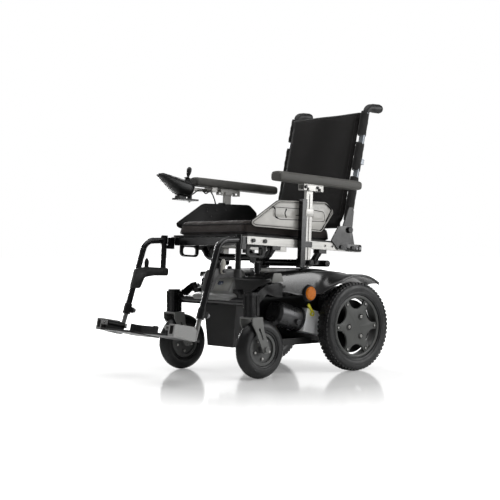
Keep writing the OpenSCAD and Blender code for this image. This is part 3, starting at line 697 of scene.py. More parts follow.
def drive_tyre(side):
    """A carcass with a moulded sidewall, and shoulder and centre lugs all round."""
    shape = Shape()
    half = [(112.5, 20), (114, 23.5), (119, 25.5), (121, 26.8), (123, 26.2), (130, 28.2),
            (138, 28.5), (144, 27.6), (149, 25.6), (152.6, 22.6), (154.8, 18.5), (156.6, 10),
            (157, 0)]
    profile = half + [(r, -z) for r, z in reversed(half[:-1])]
    shape.ring_at((0, 0), profile, 120)
    step = 2 * math.pi / TREAD_PITCHES
    top = wheel_r - 0.2
    for i in range(TREAD_PITCHES):
        a = i * step
        for sign in (-1, 1):
            offset = 0.25 * step * sign
            lug(shape, 148, top - 2.4, a + offset, 0.7 * step, sign * 16, sign * 23.6)
            lug(shape, 150, top, a - offset, 0.72 * step, sign * 1.6, sign * 14.2, 0.03 * sign)
        lug(shape, 150, top - 0.5, a + 0.5 * step, 0.3 * step, -4, 4)
    shape.solid(f"tyre_{side}", wheel_space(side), "tyre_black",
                f"drive_wheel_{side}", [f"drive_tyre_{side}"], "tyre_black", 30)


def star_radius(turn):
    """Edge of the star face: six round openings, with arms that widen into the rim."""
    a = (turn + math.pi / 6) % (math.pi / 3) - math.pi / 6
    reach, cut, bite = 103.0, 104.0, 40.0
    under = bite ** 2 - (cut * math.sin(a)) ** 2
    if under <= 0:
        return reach
    return min(reach, cut * math.cos(a) - math.sqrt(under))


def drive_rim(side):
    """A ring, a dished star with ridged arms and a hub, with three bolt wells; a black disc behind the openings
    and black well bottoms are painted shade.
    """
    shape = Shape()
    ring = [(100.5, 16), (102, 20), (107, 21.5), (112.6, 20), (112.9, 8), (110.5, 3), (110.5, -3),
            (112.9, -8), (112.6, -20), (108, -21.5), (103, -19), (101.5, -10), (101.5, 10)]
    shape.ring_at((0, 0), ring, 120)
    count = 240
    levels = []
    centre_r = 2.0
    for t, z in ((0.0, 18.4), (0.3, 18.4), (0.6, 18.2), (0.92, 17.6), (0.975, 17.0), (1.0, 15.6),
                 (1.0, 10.0), (0.92, 9.0), (0.6, 7.0), (0.3, 5.0), (0.05, 5.0)):
        loop = []
        for i in range(count):
            a = 2 * math.pi * (i + 0.5) / count
            r = max(star_radius(a) * t, centre_r)
            ridge_up = 0.5 * max(0.0, -math.cos(6 * a)) ** 4 * (0.2 < t < 0.95) * (z > 12)
            loop.append((r * math.cos(a), r * math.sin(a), z + ridge_up))
        levels.append(loop)
    shape.loft(levels)
    shape.lathe([(34, -30), (40, -26), (44, 2), (42, 7)], 72)
    arm_ends = [(92 * c, 92 * s) for c, s in circle(6, 0.5)]
    for x, y in arm_ends:
        shape.ring_at((x, y), [(4.2, 15), (4.4, 20.2), (6.2, 20.8), (7.8, 20.0), (8.2, 15)], 20)
    wells = [(40 * c, 40 * s) for c, s in circle(3, 0.25)]
    for centre in wells:
        shape.ring_at(centre, [(9.4, 15), (9.6, 20.0), (10.8, 20.9), (12.2, 20.0), (12.9, 15)], 28)
    # A black disc behind the star's openings and black bottoms in the bolt wells: painted shade.
    dark = Shape()
    dark.ring_at((0, 0), [(41, -14), (95, -14), (95, -11), (41, -11)], 72)
    for x, y in wells:
        dark.lathe([(9.5, 17), (9.5, 18.7), (0.5, 18.75)], 24, (x, y, 0))
    dark.solid(f"rim_painted_shade_{side}", wheel_space(side), SHADE_BLACK, f"drive_wheel_{side}", smooth=30)
    heads = Shape()
    for x, y in wells:
        heads.lathe([(6.2, 18.2), (6.4, 21.6), (5.6, 22.6), (3.4, 22.8), (3.1, 20.4), (0.3, 20.4)], 6,
                    (x, y, 0))
    for x, y in arm_ends:
        heads.lathe([(4.0, 17), (4.0, 18.6), (3.0, 19.4), (0.3, 19.5)], 14, (x, y, 0))
    heads.solid(f"rim_screws_{side}", wheel_space(side), "rail_silver",
                f"drive_wheel_{side}", [f"wheel_bolts_{side}"], "bolt_steel", 30)
    shape.solid(f"rim_{side}", wheel_space(side), "rim_graphite",
                f"drive_wheel_{side}", [f"drive_rim_{side}"], "rim_graphite", 28)


for side_name in SIDES:
    drive_tyre(side_name)
    drive_rim(side_name)


# ----------------------------------------------------------------- casters

def caster_tyre(side):
    """A solid caster tyre: round crown, a moulding line and a bead step."""
    spin = pivot(f"caster_wheel_{side}_spin")
    r = spin.z / MM
    half = [(56.2, 16), (58, 19.5), (63, 20.5), (65, 23.6), (72, 25), (80, 24.2), (88, 20),
            (95, 13), (98.6, 6.5), (r - 0.3, 1.2), (r, 0)]
    profile = half + [(q, -z) for q, z in reversed(half[:-1])]
    Shape().ring_at((0, 0), profile, 96).solid(
        f"caster_tyre_{side}_smooth", Matrix.Translation(spin) @ Z_TO_X @ Matrix.Scale(MM, 4),
        "tyre_black", f"caster_wheel_{side}", [f"caster_tyre_{side}"], "tyre_black", 40)


for side_name in SIDES:
    caster_tyre(side_name)


# ------------------------------------------------------------- seat cushion

CUSHION_W, CUSHION_D = 392, 425
CUSHION_MIDDLE = -273.5


def seat_cushion():
    """A filled cushion with piping round both edges and a seam down each corner."""
    w, d = CUSHION_W / 2 - 7, CUSHION_D / 2 - 6
    shape = Shape()
    levels = ((0, 9), (-1, 16), (-3, 32), (-7, 46), (-12, 51))
    shape.loft([[(x, y, z) for x, y in rounded_loop(w + dw, d + dw, 16)] for dw, z in levels])
    piece = shape.solid("cushion", SEAT @ shift(0, CUSHION_MIDDLE, 0), "cloth_black",
                        None, smooth=180)
    inflate(piece, 6, 4.0, 8)

    def settle(p):
        """A crown on top, a dip for the thighs, a flat base and a few creases."""
        u, v = p.x / w, (p.y - CUSHION_MIDDLE) / d
        top = smoothstep((p.z - 30) / 20)
        crown = 3.5 * (1 - u * u) * (1 - v * v) - 2.0 * math.exp(-((abs(u) - 0.45) / 0.22) ** 2) * (1 - v * v)
        ripple = 0.9 * math.sin(0.05 * p.x + 0.11 * p.z + 1.3 * math.sin(0.021 * p.x))
        z = max(6.4, p.z) + top * crown
        y = p.y + ripple * (1 if v < -0.9 else 0)
        return Vector((p.x, y, min(z, 56.5)))

    reshape(piece, SEAT, settle)
    attach(piece, "base", ["seat_cushion"])
    for name, z, grow in (("lower", 12, 6), ("upper", 47, -2)):
        loop = [spot(SEAT, x, y + CUSHION_MIDDLE, z) for x, y in rounded_loop(w + grow, d + grow, 18, 8)]
        dense = []
        for a, b in zip(loop, loop[1:] + loop[:1]):
            steps = max(1, int((b - a).length / (9 * MM)))
            dense += [a.lerp(b, k / steps) for k in range(steps)]
        path = on_surface(piece, dense, 0.6)
        Shape().tube(path, 2.0 * MM, 8, closed=True).solid(
            f"cushion_piping_{name}", Matrix.Identity(4), SEAM, "base", smooth=180)
    corners = Shape()
    for x in (-1, 1):
        for y in (-1, 1):
            line = [spot(SEAT, x * (w - 2), CUSHION_MIDDLE + y * (d - 2), z) for z in range(12, 48, 5)]
            corners.tube(on_surface(piece, line, 0.4), 1.3 * MM, 6)
    corners.solid("cushion_corner_seams", Matrix.Identity(4), SEAM, "base", smooth=180)


seat_cushion()


# --------------------------------------------------------------------- back

CANE_X = 188
SLEEVES = ((24, 187), (213, 317), (345, 436))
BACK_TOP = 446


def back_panel():
    """The slung back fabric, with stitched seams near its edges."""
    shape = Shape()
    w = 186
    rings = []
    for z, half in ((-16, 176), (8, 177), (26, w), (60, w), (200, w), (330, w), (BACK_TOP - 8, w)):
        lean = 4 * z / BACK_TOP
        rings.append([(x, y - 21 + lean, z) for x, y in rounded_loop(half, 6.5, 6)])
    shape.loft(rings)
    piece = shape.solid("back_panel", BACK, SHADED_BACK_CLOTH, None, smooth=180)
    inflate(piece, 6, 3.0, 7)

    def drape(p):
        """Slack folds that run up the panel and gather near its lower corners."""
        u = p.x / w
        low = smoothstep((150 - p.z) / 140)
        fold = 1.6 * math.sin(0.030 * p.x + 0.9 * math.sin(0.009 * p.z)) * (1 - u * u)
        gather = low * 2.6 * math.sin(0.10 * p.x * (1 - 0.4 * u * u) + 0.03 * p.z) * abs(u)
        sling = 5.0 * (1 - u * u) * math.sin(math.pi * min(1, max(0, p.z / BACK_TOP)))
        y = min(p.y + sling + fold + gather, -12.4)
        return Vector((p.x, max(y, -36), p.z))

    reshape(piece, BACK, drape)
    attach(piece, "backrest", ["back_upholstery"])
    seams = Shape()
    for sign in (-1, 1):
        line = [spot(BACK, sign * 172, -34, z) for z in range(34, BACK_TOP - 12, 8)]
        seams.tube(on_surface(piece, line, 0.2), 1.2 * MM, 6)
    for z in (BACK_TOP - 22, 40):
        hem = [spot(BACK, x, -34, z) for x in range(-172, 173, 8)]
        seams.tube(on_surface(piece, hem, 0.2), 1.1 * MM, 6)
    seams.solid("back_seams", Matrix.Identity(4), SEAM, "backrest", smooth=180)


def cane_sleeves():
    """Fabric loops round each cane, flat on the outside so that they fold past the arm pads."""
    shape = Shape()
    for sign in (-1, 1):
        for low, high in SLEEVES:
            rings = []
            count = max(6, int((high - low) / 7))
            for i in range(count + 1):
                z = low + (high - low) * i / count
                rim = 1 - 0.06 * (i in (0, count))
                ring = []
                for k, (c, s) in enumerate(circle(28)):
                    a = 2 * math.pi * k / 28
                    wobble = 0.5 * math.sin(0.14 * z + 3 * a) + 0.35 * math.sin(0.31 * z - 2 * a)
                    reach = 14.2 if c < 0 else 11.4
                    x = (reach + 0.5 * wobble) * c * rim
                    y = (14.6 + wobble) * s * rim * (1.55 if s < 0 else 1)
                    ring.append((sign * (CANE_X + x), y, z))
                rings.append(ring if sign > 0 else list(reversed(ring)))
            shape.loft(rings)
    shape.solid("cane_sleeves", BACK, SLEEVE, "backrest", smooth=50)


def rear_straps():
    """Tension straps across the back of the panel, each with a doubled end."""
    shape = Shape()
    for z in (80, 150, 240, 285, 380):
        rows = []
        for edge in (-17, -15, 15, 17):
            row = []
            for i in range(41):
                x = -176 + 352 * i / 40
                bow = -10.5 + 2.5 * (abs(x) / 176) ** 2
                row.append((x, bow + (0.0 if abs(edge) == 17 else 1.4), z + edge))
            rows.append(row)
        back_rows = [[(x, y - 1.6, zz) for x, y, zz in row] for row in reversed(rows)]
        loop = rows + back_rows
        shape.loft([[loop[r][i] for r in range(len(loop))] for i in range(41)])
    shape.solid("back_tension_straps", BACK, "strap_black", "backrest", smooth=50)


def push_grip(side):
    """Ribbed rubber over the bent end of a cane, closed by a grey cap."""
    path = []
    bend, top, turned, rise, length = 26.0, 433.3, 77, math.radians(13), 50
    for i in range(7):
        a = math.radians(turned * i / 6)
        path.append(Vector((0, bend * (1 - math.cos(a)), top + bend * math.sin(a))))
    tail = Vector((0, math.cos(rise), math.sin(rise)))
    start = path[-1]
    path += [start + tail * s for s in range(2, length + 1, 2)]
    count = len(path) - 1

    def thickness(t):
        rib = 0.7 if int(t * count) % 2 and 0.34 < t < 0.92 else 0.0
        swell = table([(0, 12.2), (0.16, 14.5), (0.34, 15.8), (0.9, 16.2), (1.0, 14.6)], t)
        return swell + rib

    x = CANE_X * SIDES[side]
    piece = Shape().tube(path, thickness, 32)
    piece.solid(f"grip_{side}", BACK @ shift(x, 0, 0), "grip_rubber", "backrest",
                ["push_grips"], "grip_rubber", 40)
    cap_at = BACK @ shift(x, 0, 0) @ Matrix.Translation(path[-1]) @ Matrix.Rotation(
        math.radians(-turned), 4, "X")
    Shape().lathe([(11, -3), (13.6, -1.5), (14.2, 1), (12.5, 3.2), (7, 4.2), (0.4, 4.4)], 32).solid(
        f"grip_cap_{side}", cap_at, CAP_GREY, "backrest", smooth=50)


back_panel()
cane_sleeves()
rear_straps()
for side_name in SIDES:
    push_grip(side_name)


# ----------------------------------------------------------------- armrests

PAD_X, PAD_FRONT = 227, -386
PAD_LOW, PAD_HIGH, PAD_HALF = 195, 228, 26.5


def pad_ring(v, shrink):
    """A section of the pad: crowned top, soft shoulders, nearly flat base."""
    ring = []
    half_h = (PAD_HIGH - PAD_LOW) / 2
    for c, s in circle(32, 0.5):
        x = PAD_HALF * squared(c, 3.6) * (1 - shrink)
        z = half_h * squared(s, 3.6) * (1 - shrink)
        crown = 1.6 * (1 - (x / PAD_HALF) ** 2) if s > 0 else 0
        ring.append((PAD_X + x, v, (PAD_LOW + PAD_HIGH) / 2 + z + crown * (1 - shrink) - 1.4))
    return ring


def arm_pad(side):
    """A one-piece pad over a small plate, with the two bracket screws."""
    matrix = SEAT @ mirrored(side)
    stations = [(PAD_FRONT, 0.42), (PAD_FRONT + 0.6, 0.3), (PAD_FRONT + 2.6, 0.13), (PAD_FRONT + 6, 0.04),
                (PAD_FRONT + 11, 0.0), (-300, 0.0), (-200, 0.0), (-60, 0.0), (0, 0.01), (9, 0.06),
                (15, 0.15), (18.4, 0.32), (19, 0.6)]
    body = Shape().loft([pad_ring(v, s) for v, s in stations])
    body.solid(f"arm_pad_{side}_top", matrix, "pad_grey", f"armrest_{side}",
               [f"arm_pad_{side}"], "pad_grey", 60, levels=1)
    plate = Shape()
    plate.slab([(x + PAD_X, v) for x, v in rounded_loop(17, 42, 6)], 0, 3)
    plate.solid(f"arm_pad_plate_{side}", matrix @ shift(0, -216, PAD_LOW - 3.4),
                "rail_silver", f"armrest_{side}")
    for k, v in enumerate((-251, -195)):
        Shape().lathe([(5.4, 0), (5.8, 1), (5.8, 3.4), (4.6, 4.6), (0.4, 4.8)], 20).solid(
            f"bracket_screw_{side}_{k}", matrix @ shift(241.5, v - 3, 184) @ Z_TO_X,
            "bolt_black", f"armrest_{side}", smooth=40)


# Points of the guard in the side plane (v, w), worked round clockwise.
GUARD = [(-468, 52), (-350, 132), (-134, 143), (-122, 141), (-88, 116), (-86, 104), (-138, 36),
         (-150, 33), (-452, 33), (-466, 40)]


def ridge(shape, points, x, r, closed=False):
    """A bead of radius r along points of the side plane at x."""
    shape.tube([(x, v, w) for v, w in points], r, 8, closed)


def side_guard(side):
    """A two-skin guard: a light grey moulded face, painted reflection on glossy black plastic, with raised
    borders, and slots drawn as black beads of painted shade.
    """
    matrix = SEAT @ mirrored(side)
    loop = anticlockwise(list(reversed(outline_loop(GUARD, 14, 5))))
    inner = Shape().slab(loop, 205, 208.6, 0.8, sideways)
    inner.solid(f"guard_inner_{side}", matrix, GUARD_BLACK_AND_SLOT_SHADE, "base", ["side_guards"], "moulded_black")
    outer = Shape()
    outer.slab(inset(loop, 1.5), 208.6, 210.6, 0.7, sideways)
    ridge(outer, inset(loop, 3.2), 210.6, 1.7, True)
    ridge(outer, inset(loop, 10.5), 210.3, 1.4, True)
    # The face's light grey stands in for a softbox's reflection on black plastic: painted reflection.
    outer.solid(f"guard_face_{side}", matrix, "guard_grey", "base", slot="guard_grey",
                smooth=40)
    # The slots are black beads standing in for the shade inside them: painted shade.
    slot_shade = Shape()
    ridge(slot_shade, inset(loop, 7), 210.2, 1.1, True)
    for width, line in (
            (1.3, [(-379, 106), (-300, 107), (-239, 109)]),
            (2.9, [(-379, 106), (-366, 101), (-364, 78), (-352, 69)]),
            (1.5, [(-352, 69), (-331, 66), (-237, 70)]),
            (3.0, [(-312, 103), (-319, 88), (-312, 73)]),
            (1.5, [(-306, 88), (-292, 84), (-240, 86)]),
            (1.4, [(-204, 109), (-150, 107), (-136, 104), (-129, 92), (-128, 78), (-138, 72), (-204, 69)]),
            (1.4, [(-200, 88), (-150, 87), (-138, 84)]),
            (2.9, [(-128, 136), (-104, 124), (-99, 112), (-122, 72)]),
            (2.6, [(-129, 62), (-138, 46), (-150, 38)])):
        path = [(p.x, p.y) for p in curve_through([(v, w, 0) for v, w in line], 5)]
        ridge(slot_shade, path, 210.0, width)
    slot_shade.solid(f"guard_slot_shade_{side}", matrix, GUARD_BLACK_AND_SLOT_SHADE, "base", smooth=60)
    # The raised panels share the face's light grey: painted reflection.
    raised = Shape()
    for low, high, w1, w2 in ((-376, -266, 70, 102), (-192, -133, 73, 104)):
        panel = rounded_loop((high - low) / 2 - 3, (w2 - w1) / 2 - 3, 8)
        raised.slab([((low + high) / 2 + x, (w1 + w2) / 2 + y) for x, y in panel], 210.4, 211.6, 0.5,
                    sideways)
    raised.solid(f"guard_panels_{side}", matrix, "guard_grey", "base", smooth=40)
    dots = Shape()
    turn = Matrix.Rotation(math.radians(-90), 4, "Y")
    for v, w in ((-330, 112), (-330, 104), (-286, 112), (-310, 88), (-240, 116), (-200, 60)):
        dots.lathe([(3.2, -0.4), (3.2, 0.8), (2.4, 1.0), (2.2, 0.3), (0.3, 0.2)], 16, (w, v, 0))
    dots.solid(f"guard_rivets_{side}", matrix @ shift(205, 0, 0) @ turn, "bolt_black",
               "base", smooth=40)


for side_name in SIDES:
    arm_pad(side_name)
    side_guard(side_name)


# -------------------------------------------------------------- joystick pod

def pod_ring(y):
    """The pod's cross-section at y: nearly flat on top and rounder below."""
    half = table([(-131, 5), (-128, 14), (-121, 20), (-106, 24.5), (-80, 29), (-50, 33), (-20, 35.6),
                  (2, 35.8), (14, 33), (20, 27), (23, 18)], y)
    top = table([(-131, -6), (-127, -2.0), (-112, -0.6), (-60, 0.4), (0, 1.2), (14, -0.8), (23, -8)], y)
    low = table([(-131, -9), (-122, -16), (-96, -29), (-60, -46), (-38, -55), (-10, -56), (8, -54),
                 (18, -46), (23, -34)], y)
    ring = []
    middle = (top + low) / 2
    tall = (top - low) / 2
    for c, s in circle(36, 0.5):
        power = 3.4 if s > 0 else 2.3
        ring.append((half * squared(c, power), y, middle + tall * squared(s, power)))
    return ring


def joystick_pod():
    """The pod's shell with its seam, top bezel, charge lights, boot flange and feet."""
    shape = Shape()
    ys = (-131, -130, -128, -124, -116, -104, -90, -74, -58, -42, -26, -10, 2, 10, 16, 20, 22.4, 23)
    shape.loft([pod_ring(y) for y in ys])
    shape.solid("pod_shell", POD, "moulded_black", "joystick_arm", ["pod_case"],
                "moulded_black", 180, levels=1)
    rim = Shape()
    band = []
    for y in ys[2:-1]:
        ring = pod_ring(y)
        edge = max(p[0] for p in ring)
        top = max(p[2] for p in ring)
        band.append((edge + 0.1, y, top - 6.5 - 0.02 * (y + 60)))
    path = band + [(-x, y, z) for x, y, z in reversed(band)]
    rim.tube(path, 0.8, 6, closed=True)
    rim.solid("pod_seam", POD, BLACK_GLOSS, "joystick_arm", smooth=180)
    bezel = Shape()
    loop = []
    for y in range(-120, -26, 6):
        loop.append((max(p[0] for p in pod_ring(y)) * 0.72, y))
    loop += [(-x, y) for x, y in reversed(loop)]
    bezel.loft([[(x, y, z) for x, y in inset(loop, d)] for d, z in ((0, -3), (0, 1.1), (0.8, 1.5))])
    bezel.solid("pod_bezel", POD, BLACK_GLOSS, "joystick_arm", smooth=40)
    lights = Shape()
    for k in range(5):
        lights.lathe([(2.0, -1), (2.0, 1.7), (1.3, 2.2), (0.2, 2.3)], 12, (-12 + 6 * k, -70, 0))
    lights.solid("pod_charge_lights", POD, INDICATOR, "joystick_arm", smooth=50)
    flange = Shape().lathe([(21.5, -1), (22, 1.8), (20.5, 3.4), (14, 3.8), (13.6, -1)], 40)
    flange.solid("stick_boot_flange", POD, "grip_rubber", "joystick_arm", smooth=45)
    pads = Shape()
    for k in range(4):
        pads.slab([(x - 9 + 6 * k, y - 22) for x, y in rounded_loop(2.2, 3.6, 1.4)], -60, -54.5, 0.8)
    pads.solid("pod_feet", POD, "grip_rubber", "joystick_arm")


def joystick_stick():
    """Stepped rubber boot, a flat collar and a waisted knob."""
    boot = [(4, -18), (15.6, 2.6), (15.8, 4.6), (12.6, 5.4), (13.2, 8.0), (10.2, 8.8), (10.8, 11.2),
            (8.0, 12.2), (8.2, 13.8), (12.8, 14.6), (13.4, 15.8), (12.6, 17.0), (6.2, 18.0),
            (5.0, 21), (5.2, 24), (6.4, 29), (8.2, 35), (9.2, 41), (9.4, 47), (8.6, 52.5),
            (6.4, 56.4), (3.2, 58.2), (0.3, 58.5)]
    Shape().lathe(boot, 40).solid("stick_knob", POD, "grip_rubber", "joystick_stick",
                                  ["joystick_stick"], "grip_rubber", 60)


joystick_pod()
joystick_stick()


# ------------------------------------------------------------------- cables

def cable(name, points, r):
    """A cable along a smooth path through the points, riding on no body."""
    piece = Shape().tube(curve_through(points, 10), r * MM, 10).solid(
        name, Matrix.Identity(4), CABLE, None, smooth=180)
    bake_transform(piece)


CABLE_R = 2.4
plug = [spot(POD, 0, 21, -40), spot(POD, -4, 38, -34)]
along_arm = [spot(SEAT, *p) for p in ((-218, -372, 176), (-224, -345, 182), (-231, -320, 172),
                                      (-232, -300, 184))]
down_post = [spot(SEAT, *p) for p in ((-232, -300, 184), (-232, -284, 166), (-220, -276, 120),
                                      (-219, -270, 40), (-219, -266, -30), (-200, -262, -80))]
cable("stick_cable", plug + along_arm, CABLE_R)
cable("stick_cable_drop", down_post, CABLE_R)


# -------------------------------------------------------------- body shells

# Heights of the cover's top and lower edges along the chair, as (y, z), and the arc over the tyre.
COVER_TOP = [(-440, 339), (-372, 341), (-350, 352), (-300, 361), (-220, 366), (-110, 366), (-40, 358),
             (20, 348), (62, 334), (92, 320), (108, 306)]
COVER_LOW = [(-440, 272), (-416, 288), (-392, 312), (-372, 325), (-303, 289), (-233, 277),
             (-165, 277.5), (-143, 279)]
ARC_R = 187.0
ARC_FRONT = -143
COVER_HALF = 200


def cover_half(y):
    """Half-width of the cover: it narrows forward of the seat's front to meet the hood."""
    return COVER_HALF - 106 * max(0.0, (-376 - y) / 64) ** 1.1


def flare(y):
    """0 along the cover's flat side, 1 where it spreads over the tyre."""
    return smoothstep((y + 172) / 92)


def cover_section(y):
    """Half of the cover's cross-section at y, from the middle outward and down."""
    top = table(COVER_TOP, y)
    low = wheel_r + math.sqrt(ARC_R ** 2 - y * y) if y > ARC_FRONT else table(COVER_LOW, y)
    wing = flare(y)
    tall = top - low
    narrow = cover_half(y) / COVER_HALF
    points = [(0, top + 2), (60 * narrow, top + 1.9), (120 * narrow, top + 1.2), (160 * narrow, top)]
    flat = [(180 * narrow, top - 2), (192 * narrow, top - min(8, 0.2 * tall)),
            (198 * narrow, top - min(17, 0.42 * tall)), (200 * narrow, top - 0.6 * tall),
            (200.4 * narrow, low + min(4, 0.2 * tall)), (199.5 * narrow, low)]
    rise = low + 1.5
    flared = [(180, top - 2.5), (190, top - 8), (204, rise + (top - rise) * 0.34),
              (231, rise + (top - rise) * 0.08), (257, rise), (259, low - 8)]
    points += [(a + (c - a) * wing, b + (d - b) * wing) for (a, b), (c, d) in zip(flat, flared)]
    tail = smoothstep((y - 70) / 40)
    return [(x, y, z - tail) for x, z in points]


def body_cover():
    """The cover and its fenders, with lips, creases, front clips and side screws."""
    shape = Shape()
    stations = (-440, -430, -418, -404, -390, -380, -372, -366, -350, -325, -300, -270, -240, -210, -190,
                -178, -172, -166, -160, -154, -148, -143, -136, -124, -108, -90, -70, -50, -30, -10, 10,
                30, 50, 66, 80, 92, 102, 109)
    rows = []
    for y in stations:
        half = cover_section(y)
        rows.append([(-x, yy, z) for x, yy, z in reversed(half)] + half[1:])
    shape.sheet(rows)
    shape.solid("cover_shell", CHAIR, COVER_BLACK, "base", ["body_cover"],
                "moulded_black", 60, levels=2, thick=3.0)
    lips = Shape()
    for sign in (-1, 1):
        path = []
        for a in range(140, 53, -3):
            t = math.radians(a)
            y = ARC_R * math.cos(t)
            path.append((sign * (COVER_HALF + 59 * flare(y)), y, wheel_r + 184.5 * math.sin(t)))
        lips.tube(path, 3.4, 10)
        low_edge = [(sign * (cover_half(y) - 0.4), y, table(COVER_LOW, y)) for y in range(-436, -160, 8)]
        lips.tube(low_edge, 2.2, 8)
    lips.solid("cover_lips", CHAIR, COVER_BLACK, "base", smooth=180)
    creases = Shape()
    for sign in (-1, 1):
        line = curve_through([(sign * 198.5, -292, 347), (sign * 196, -200, 354), (sign * 193, -110, 357),
                              (sign * 192, -20, 351), (sign * 196, 60, 333)], 8)
        creases.tube(line, 1.4, 6)
    creases.solid("cover_creases", CHAIR, COVER_BLACK, "base", smooth=180)
    clips = Shape()
    for sign in (-1, 1):
        loop = outline_loop([(-367, 321), (-312, 325), (-324, 354), (-357, 354)], 4)
        clips.slab(loop, 0, 3.2, 0.8, lambda y, z, x, s=sign: (s * (200.5 + x), y, z))
    clips.solid("cover_clips", CHAIR, CLIP_GREY, "base")
    screws = Shape()
    profile = ((6, 199), (6, 201.6), (4.4, 202.6), (4.2, 201.0), (0.4, 200.8))
    for sign in (-1, 1):
        screws.loft([[(sign * out, -308 + r * c, 306 + r * s) for c, s in circle(18)]
                     for r, out in profile])
    screws.solid("cover_screws", CHAIR, "bolt_black", "base", smooth=40)


def shroud_ring(z, half_w, front, rear, r):
    """A level section of the hood at height z, with corners of radius r."""
    loop = rounded_loop(half_w, (rear - front) / 2, r, 6)
    return [(x, (front + rear) / 2 + y, z) for x, y in loop]


def front_shroud():
    """The hood over the front: sloping sides, a framed light panel and a chin."""
    shape = Shape().loft([shroud_ring(*section) for section in (
        (272.5, 86, -446, -376, 14), (278, 87, -447, -375, 16), (300, 86, -438, -375, 16),
        (322, 85, -428, -375, 16), (342, 83, -418, -374, 16), (358, 74, -405, -374, 15),
        (368, 62, -396, -376, 10))])
    shape.solid("hood_shell", CHAIR, "shroud_grey", "base", ["front_shroud"],
                "shroud_grey", 50, levels=1)
    chin = Shape().loft([shroud_ring(*section) for section in (
        (256.5, 104, -464, -424, 18), (259, 112, -470, -422, 22), (267, 118, -473, -420, 24),
        (276, 118, -471, -420, 24), (283, 110, -462, -422, 20), (287, 98, -450, -424, 12))])
    chin.solid("hood_chin", CHAIR, "shroud_grey", "base", smooth=60, levels=1)
    panel = Shape()
    loop = outline_loop([(-62, 290), (62, 290), (72, 340), (-72, 340)], 9, 5)

    def on_front(x, z, out):
        return (x, -446.8 + 0.46 * (z - 279) - out, z)

    panel.slab(loop, -3, 1.6, 0.8, on_front)
    panel.tube([on_front(x, z, 1.6) for x, z in inset(loop, 5)], 1.1, 8, closed=True)
    panel.solid("hood_panel", CHAIR, PANEL_GREY, "base", smooth=50)
    badge = Shape()
    badge.slab([(x + 6, z + 318) for x, z in rounded_loop(15, 7, 7, 6)], 1.2, 3.4, 0.6, on_front)
    badge.solid("hood_badge", CHAIR, BADGE, "base", smooth=50)
    knob = Shape().lathe([(7, 0), (8.6, 2), (8.6, 8), (6.5, 10.4), (0.4, 11)], 24)
    knob.solid("hood_catch", CHAIR @ shift(0, -386, 366), "grip_rubber", "base", smooth=40)


body_cover()
front_shroud()


# ----------------------------------------------------------------- legrests

def latch_lever(side):
    """An egg-shaped grip on a round boss, light grey on the near side and dark on the far side as painted light
    and shade.
    """
    pin = pivot(f"latch_{side}_release")
    matrix = space(pin, axis("armrest_left_height")) @ mirrored(side)
    off_pin = 1.8
    sections = ((-9, 7, 4.6), (-5, 10.2, 5.4), (0, 11, 5.6), (6, 10, 5.4), (11, 8.4, 4.8), (15, 8.6, 5.2),
                (21, 9.6, 6.4), (28, 9.4, 6.6), (34, 7.4, 5.6), (38, 4.6, 3.8), (40.4, 1.6, 1.4))
    shape = Shape().loft([[(off_pin + half_x * c, half_y * s, z) for c, s in circle(24)]
                          for z, half_y, half_x in sections])
    # Lit and shaded copies of one grip: the light grey near grip is a painted reflection, the dark rubber far grip
    # is painted shade.
    material = "latch_grey" if side == "left" else "grip_rubber"
    shape.solid(f"latch_grip_{side}", matrix, material, f"latch_{side}",
                [f"hanger_latch_{side}"], "latch_grey", 180, levels=1)
    boss = Shape().lathe([(6.5, -2), (7, 0), (7, 2.4), (5.6, 3.4), (0.4, 3.6)], 20)
    boss.solid(f"latch_boss_{side}", matrix @ shift(7.2, 0, 0) @ Z_TO_X, "bolt_black",
               f"latch_{side}", smooth=40)


def hanger_bracket(side):
    """A casting that joins the hanger tube to its swing post, seen from its flat side."""
    matrix = SEAT @ mirrored(side)
    loop = anticlockwise(outline_loop([(-502, -113), (-502, -141), (-566, -143), (-604, -150), (-622, -190),
                                       (-660, -190), (-643, -120), (-598, -113)], 9, 5))
    shape = Shape().slab(loop, 196, 210.6, 2.2, sideways)
    shape.slab(inset(loop, 5), 210, 212, 0.7, sideways)
    shape.lathe([(14.5, -141), (15.2, -139), (15.2, -115), (14.5, -113)], 32, (209, -518, 0))
    shape.solid(f"hanger_bracket_{side}_cast", matrix, BRACKET_GREY, f"legrest_{side}",
                [f"hanger_bracket_{side}"], "frame_black", 40)


def rail_rear_plate(side):
    """A black plate along the rear of the seat rail, with two ringed bolts."""
    matrix = SEAT @ mirrored(side)
    plate = Shape()
    plate.slab([(v + 20, w - 13.5) for v, w in rounded_loop(38, 12.6, 5)], 212.1, 217.4, 0.8, sideways)
    plate.solid(f"rail_rear_plate_{side}", matrix, "frame_black", "base")
    bolts = Shape()
    for v in (34, 50):
        bolts.lathe([(5.6, 0), (6, 1.6), (4.4, 2.4), (3.4, 1.2), (0.3, 1.0)], 18, (13.5, v, 0))
    bolts.solid(f"rail_rear_bolts_{side}", matrix @ shift(217, 0, 0) @ Z_TO_X, "bolt_steel",
                "base", smooth=40)


def hub_screws(side):
    """Five bright screw heads round a caster's hub, on each face."""
    shape = Shape()
    head = [(4.6, 14.2), (4.8, 15.0), (3.8, 15.8), (0.3, 16.0)]
    for c, s in circle(5):
        for face in (-1, 1):
            shape.lathe([(r, face * z) for r, z in head], 14, (33 * c, 33 * s, 0))
    spin = pivot(f"caster_wheel_{side}_spin")
    shape.solid(f"caster_hub_screws_{side}", Matrix.Translation(spin) @ Z_TO_X @ Matrix.Scale(MM, 4),
                "rail_silver", f"caster_wheel_{side}", smooth=40)


